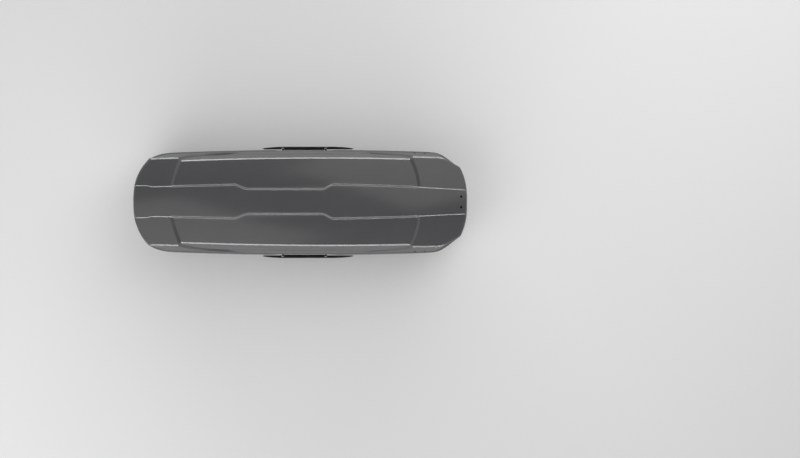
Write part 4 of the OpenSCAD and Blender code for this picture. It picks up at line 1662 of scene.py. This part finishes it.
@dataclass
class Studio:
    """Floor, lamps, world and camera (metres)."""

    eye: Point = (0.568, -0.152, 9.615)
    lens: float = 74.9
    floor_z: float = -0.0392
    floor_half: float = 12.5
    floor_tone: float = 0.78
    horizon: float = 0.7
    zenith: float = 0.24
    zenith_at: float = 0.5
    lamps: tuple[Lamp, ...] = (Lamp("wide", (2.4, 2.2, 3.2), (0.0, 0.0, 0.3), (4.4, 5.2), 68.0),
                               Lamp("inner", (2.4, 2.2, 3.2), (0.0, 0.0, 0.3), (2.2, 3.0), 24.0),
                               Lamp("strip", (0.0, 13.0, 2.3), (0.0, 0.0, 0.35), (18.0, 2.2), 1660.0))

    def floor(self) -> None:
        """A wide pale floor."""
        h = self.floor_half
        corners = np.array([(x, y, self.floor_z) for x, y in ((-h, -h), (h, -h), (h, h), (-h, h))])
        mat = bpy.data.materials.new("pale_floor")
        mat.use_nodes = True
        shader = mat.node_tree.nodes["Principled BSDF"]
        shader.inputs["Roughness"].default_value = 0.8
        shader.inputs["Specular IOR Level"].default_value = 0.1
        shader.inputs["Base Color"].default_value = (self.floor_tone,) * 3 + (1.0,)
        mesh_object("studio_floor", corners, [(0, 1, 2, 3)], mat)

    def sky(self) -> None:
        """A plain world, lighter at the horizon than overhead."""
        world = bpy.data.worlds.new("studio_world")
        bpy.context.scene.world = world
        world.use_nodes = True
        g = Graph(world.node_tree)
        g.nodes["back"] = world.node_tree.nodes["Background"]
        g.put("back", {"Color": (1.0, 1.0, 1.0, 1.0)})
        g.add("way", "ShaderNodeTexCoord")
        g.add("split", "ShaderNodeSeparateXYZ")
        g.add("fade", "ShaderNodeMapRange", {"From Min": 0.0, "From Max": self.zenith_at,
                                             "To Min": self.horizon, "To Max": self.zenith})
        g.wire("way.Generated > split.Vector", "split.Z > fade.Value", "fade.Result > back.Strength")

    def light(self) -> None:
        """Soft studio light: on each side a wide panel, a smaller one within it and a low strip far out."""
        for side in Side:
            for lamp in self.lamps:
                lamp.hang(side)

    def camera(self) -> None:
        """Camera straight above, ahead of the box's middle."""
        data = bpy.data.cameras.new("camera")
        data.lens = self.lens
        data.sensor_width = 36.0
        data.clip_end = 200.0
        obj = bpy.data.objects.new("camera", data)
        obj.location = self.eye
        bpy.context.scene.collection.objects.link(obj)
        bpy.context.scene.camera = obj

    def build(self) -> None:
        """Builds the studio."""
        self.floor()
        self.sky()
        self.light()
        self.camera()
        bpy.context.scene.view_settings.view_transform = "Standard"


def main() -> None:
    """Builds and dresses every piece, in order."""
    logging.basicConfig(level=logging.INFO)
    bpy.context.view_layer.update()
    finishes, trees = Finishes(ShaderGroups()), PatternTrees()
    lid = LidShell()
    lid.build(finishes["lid_plastic"])
    BaseTray().build(finishes, trees)
    RimSeal().build(finishes, trees)
    fittings, hinges, handles, clamps = LidFittings(), HingeSet(), HandleSet(), ClampSet()
    fittings.build(lid, finishes, trees)
    hinges.build(lid, finishes, trees)
    handles.build(finishes, trees)
    clamps.build(finishes, trees)
    for group in (fittings, hinges, LatchSet(), LifterSet(), handles, clamps):
        group.dress(finishes, trees)
    Studio().build()


if __name__ == "__main__":
    main()
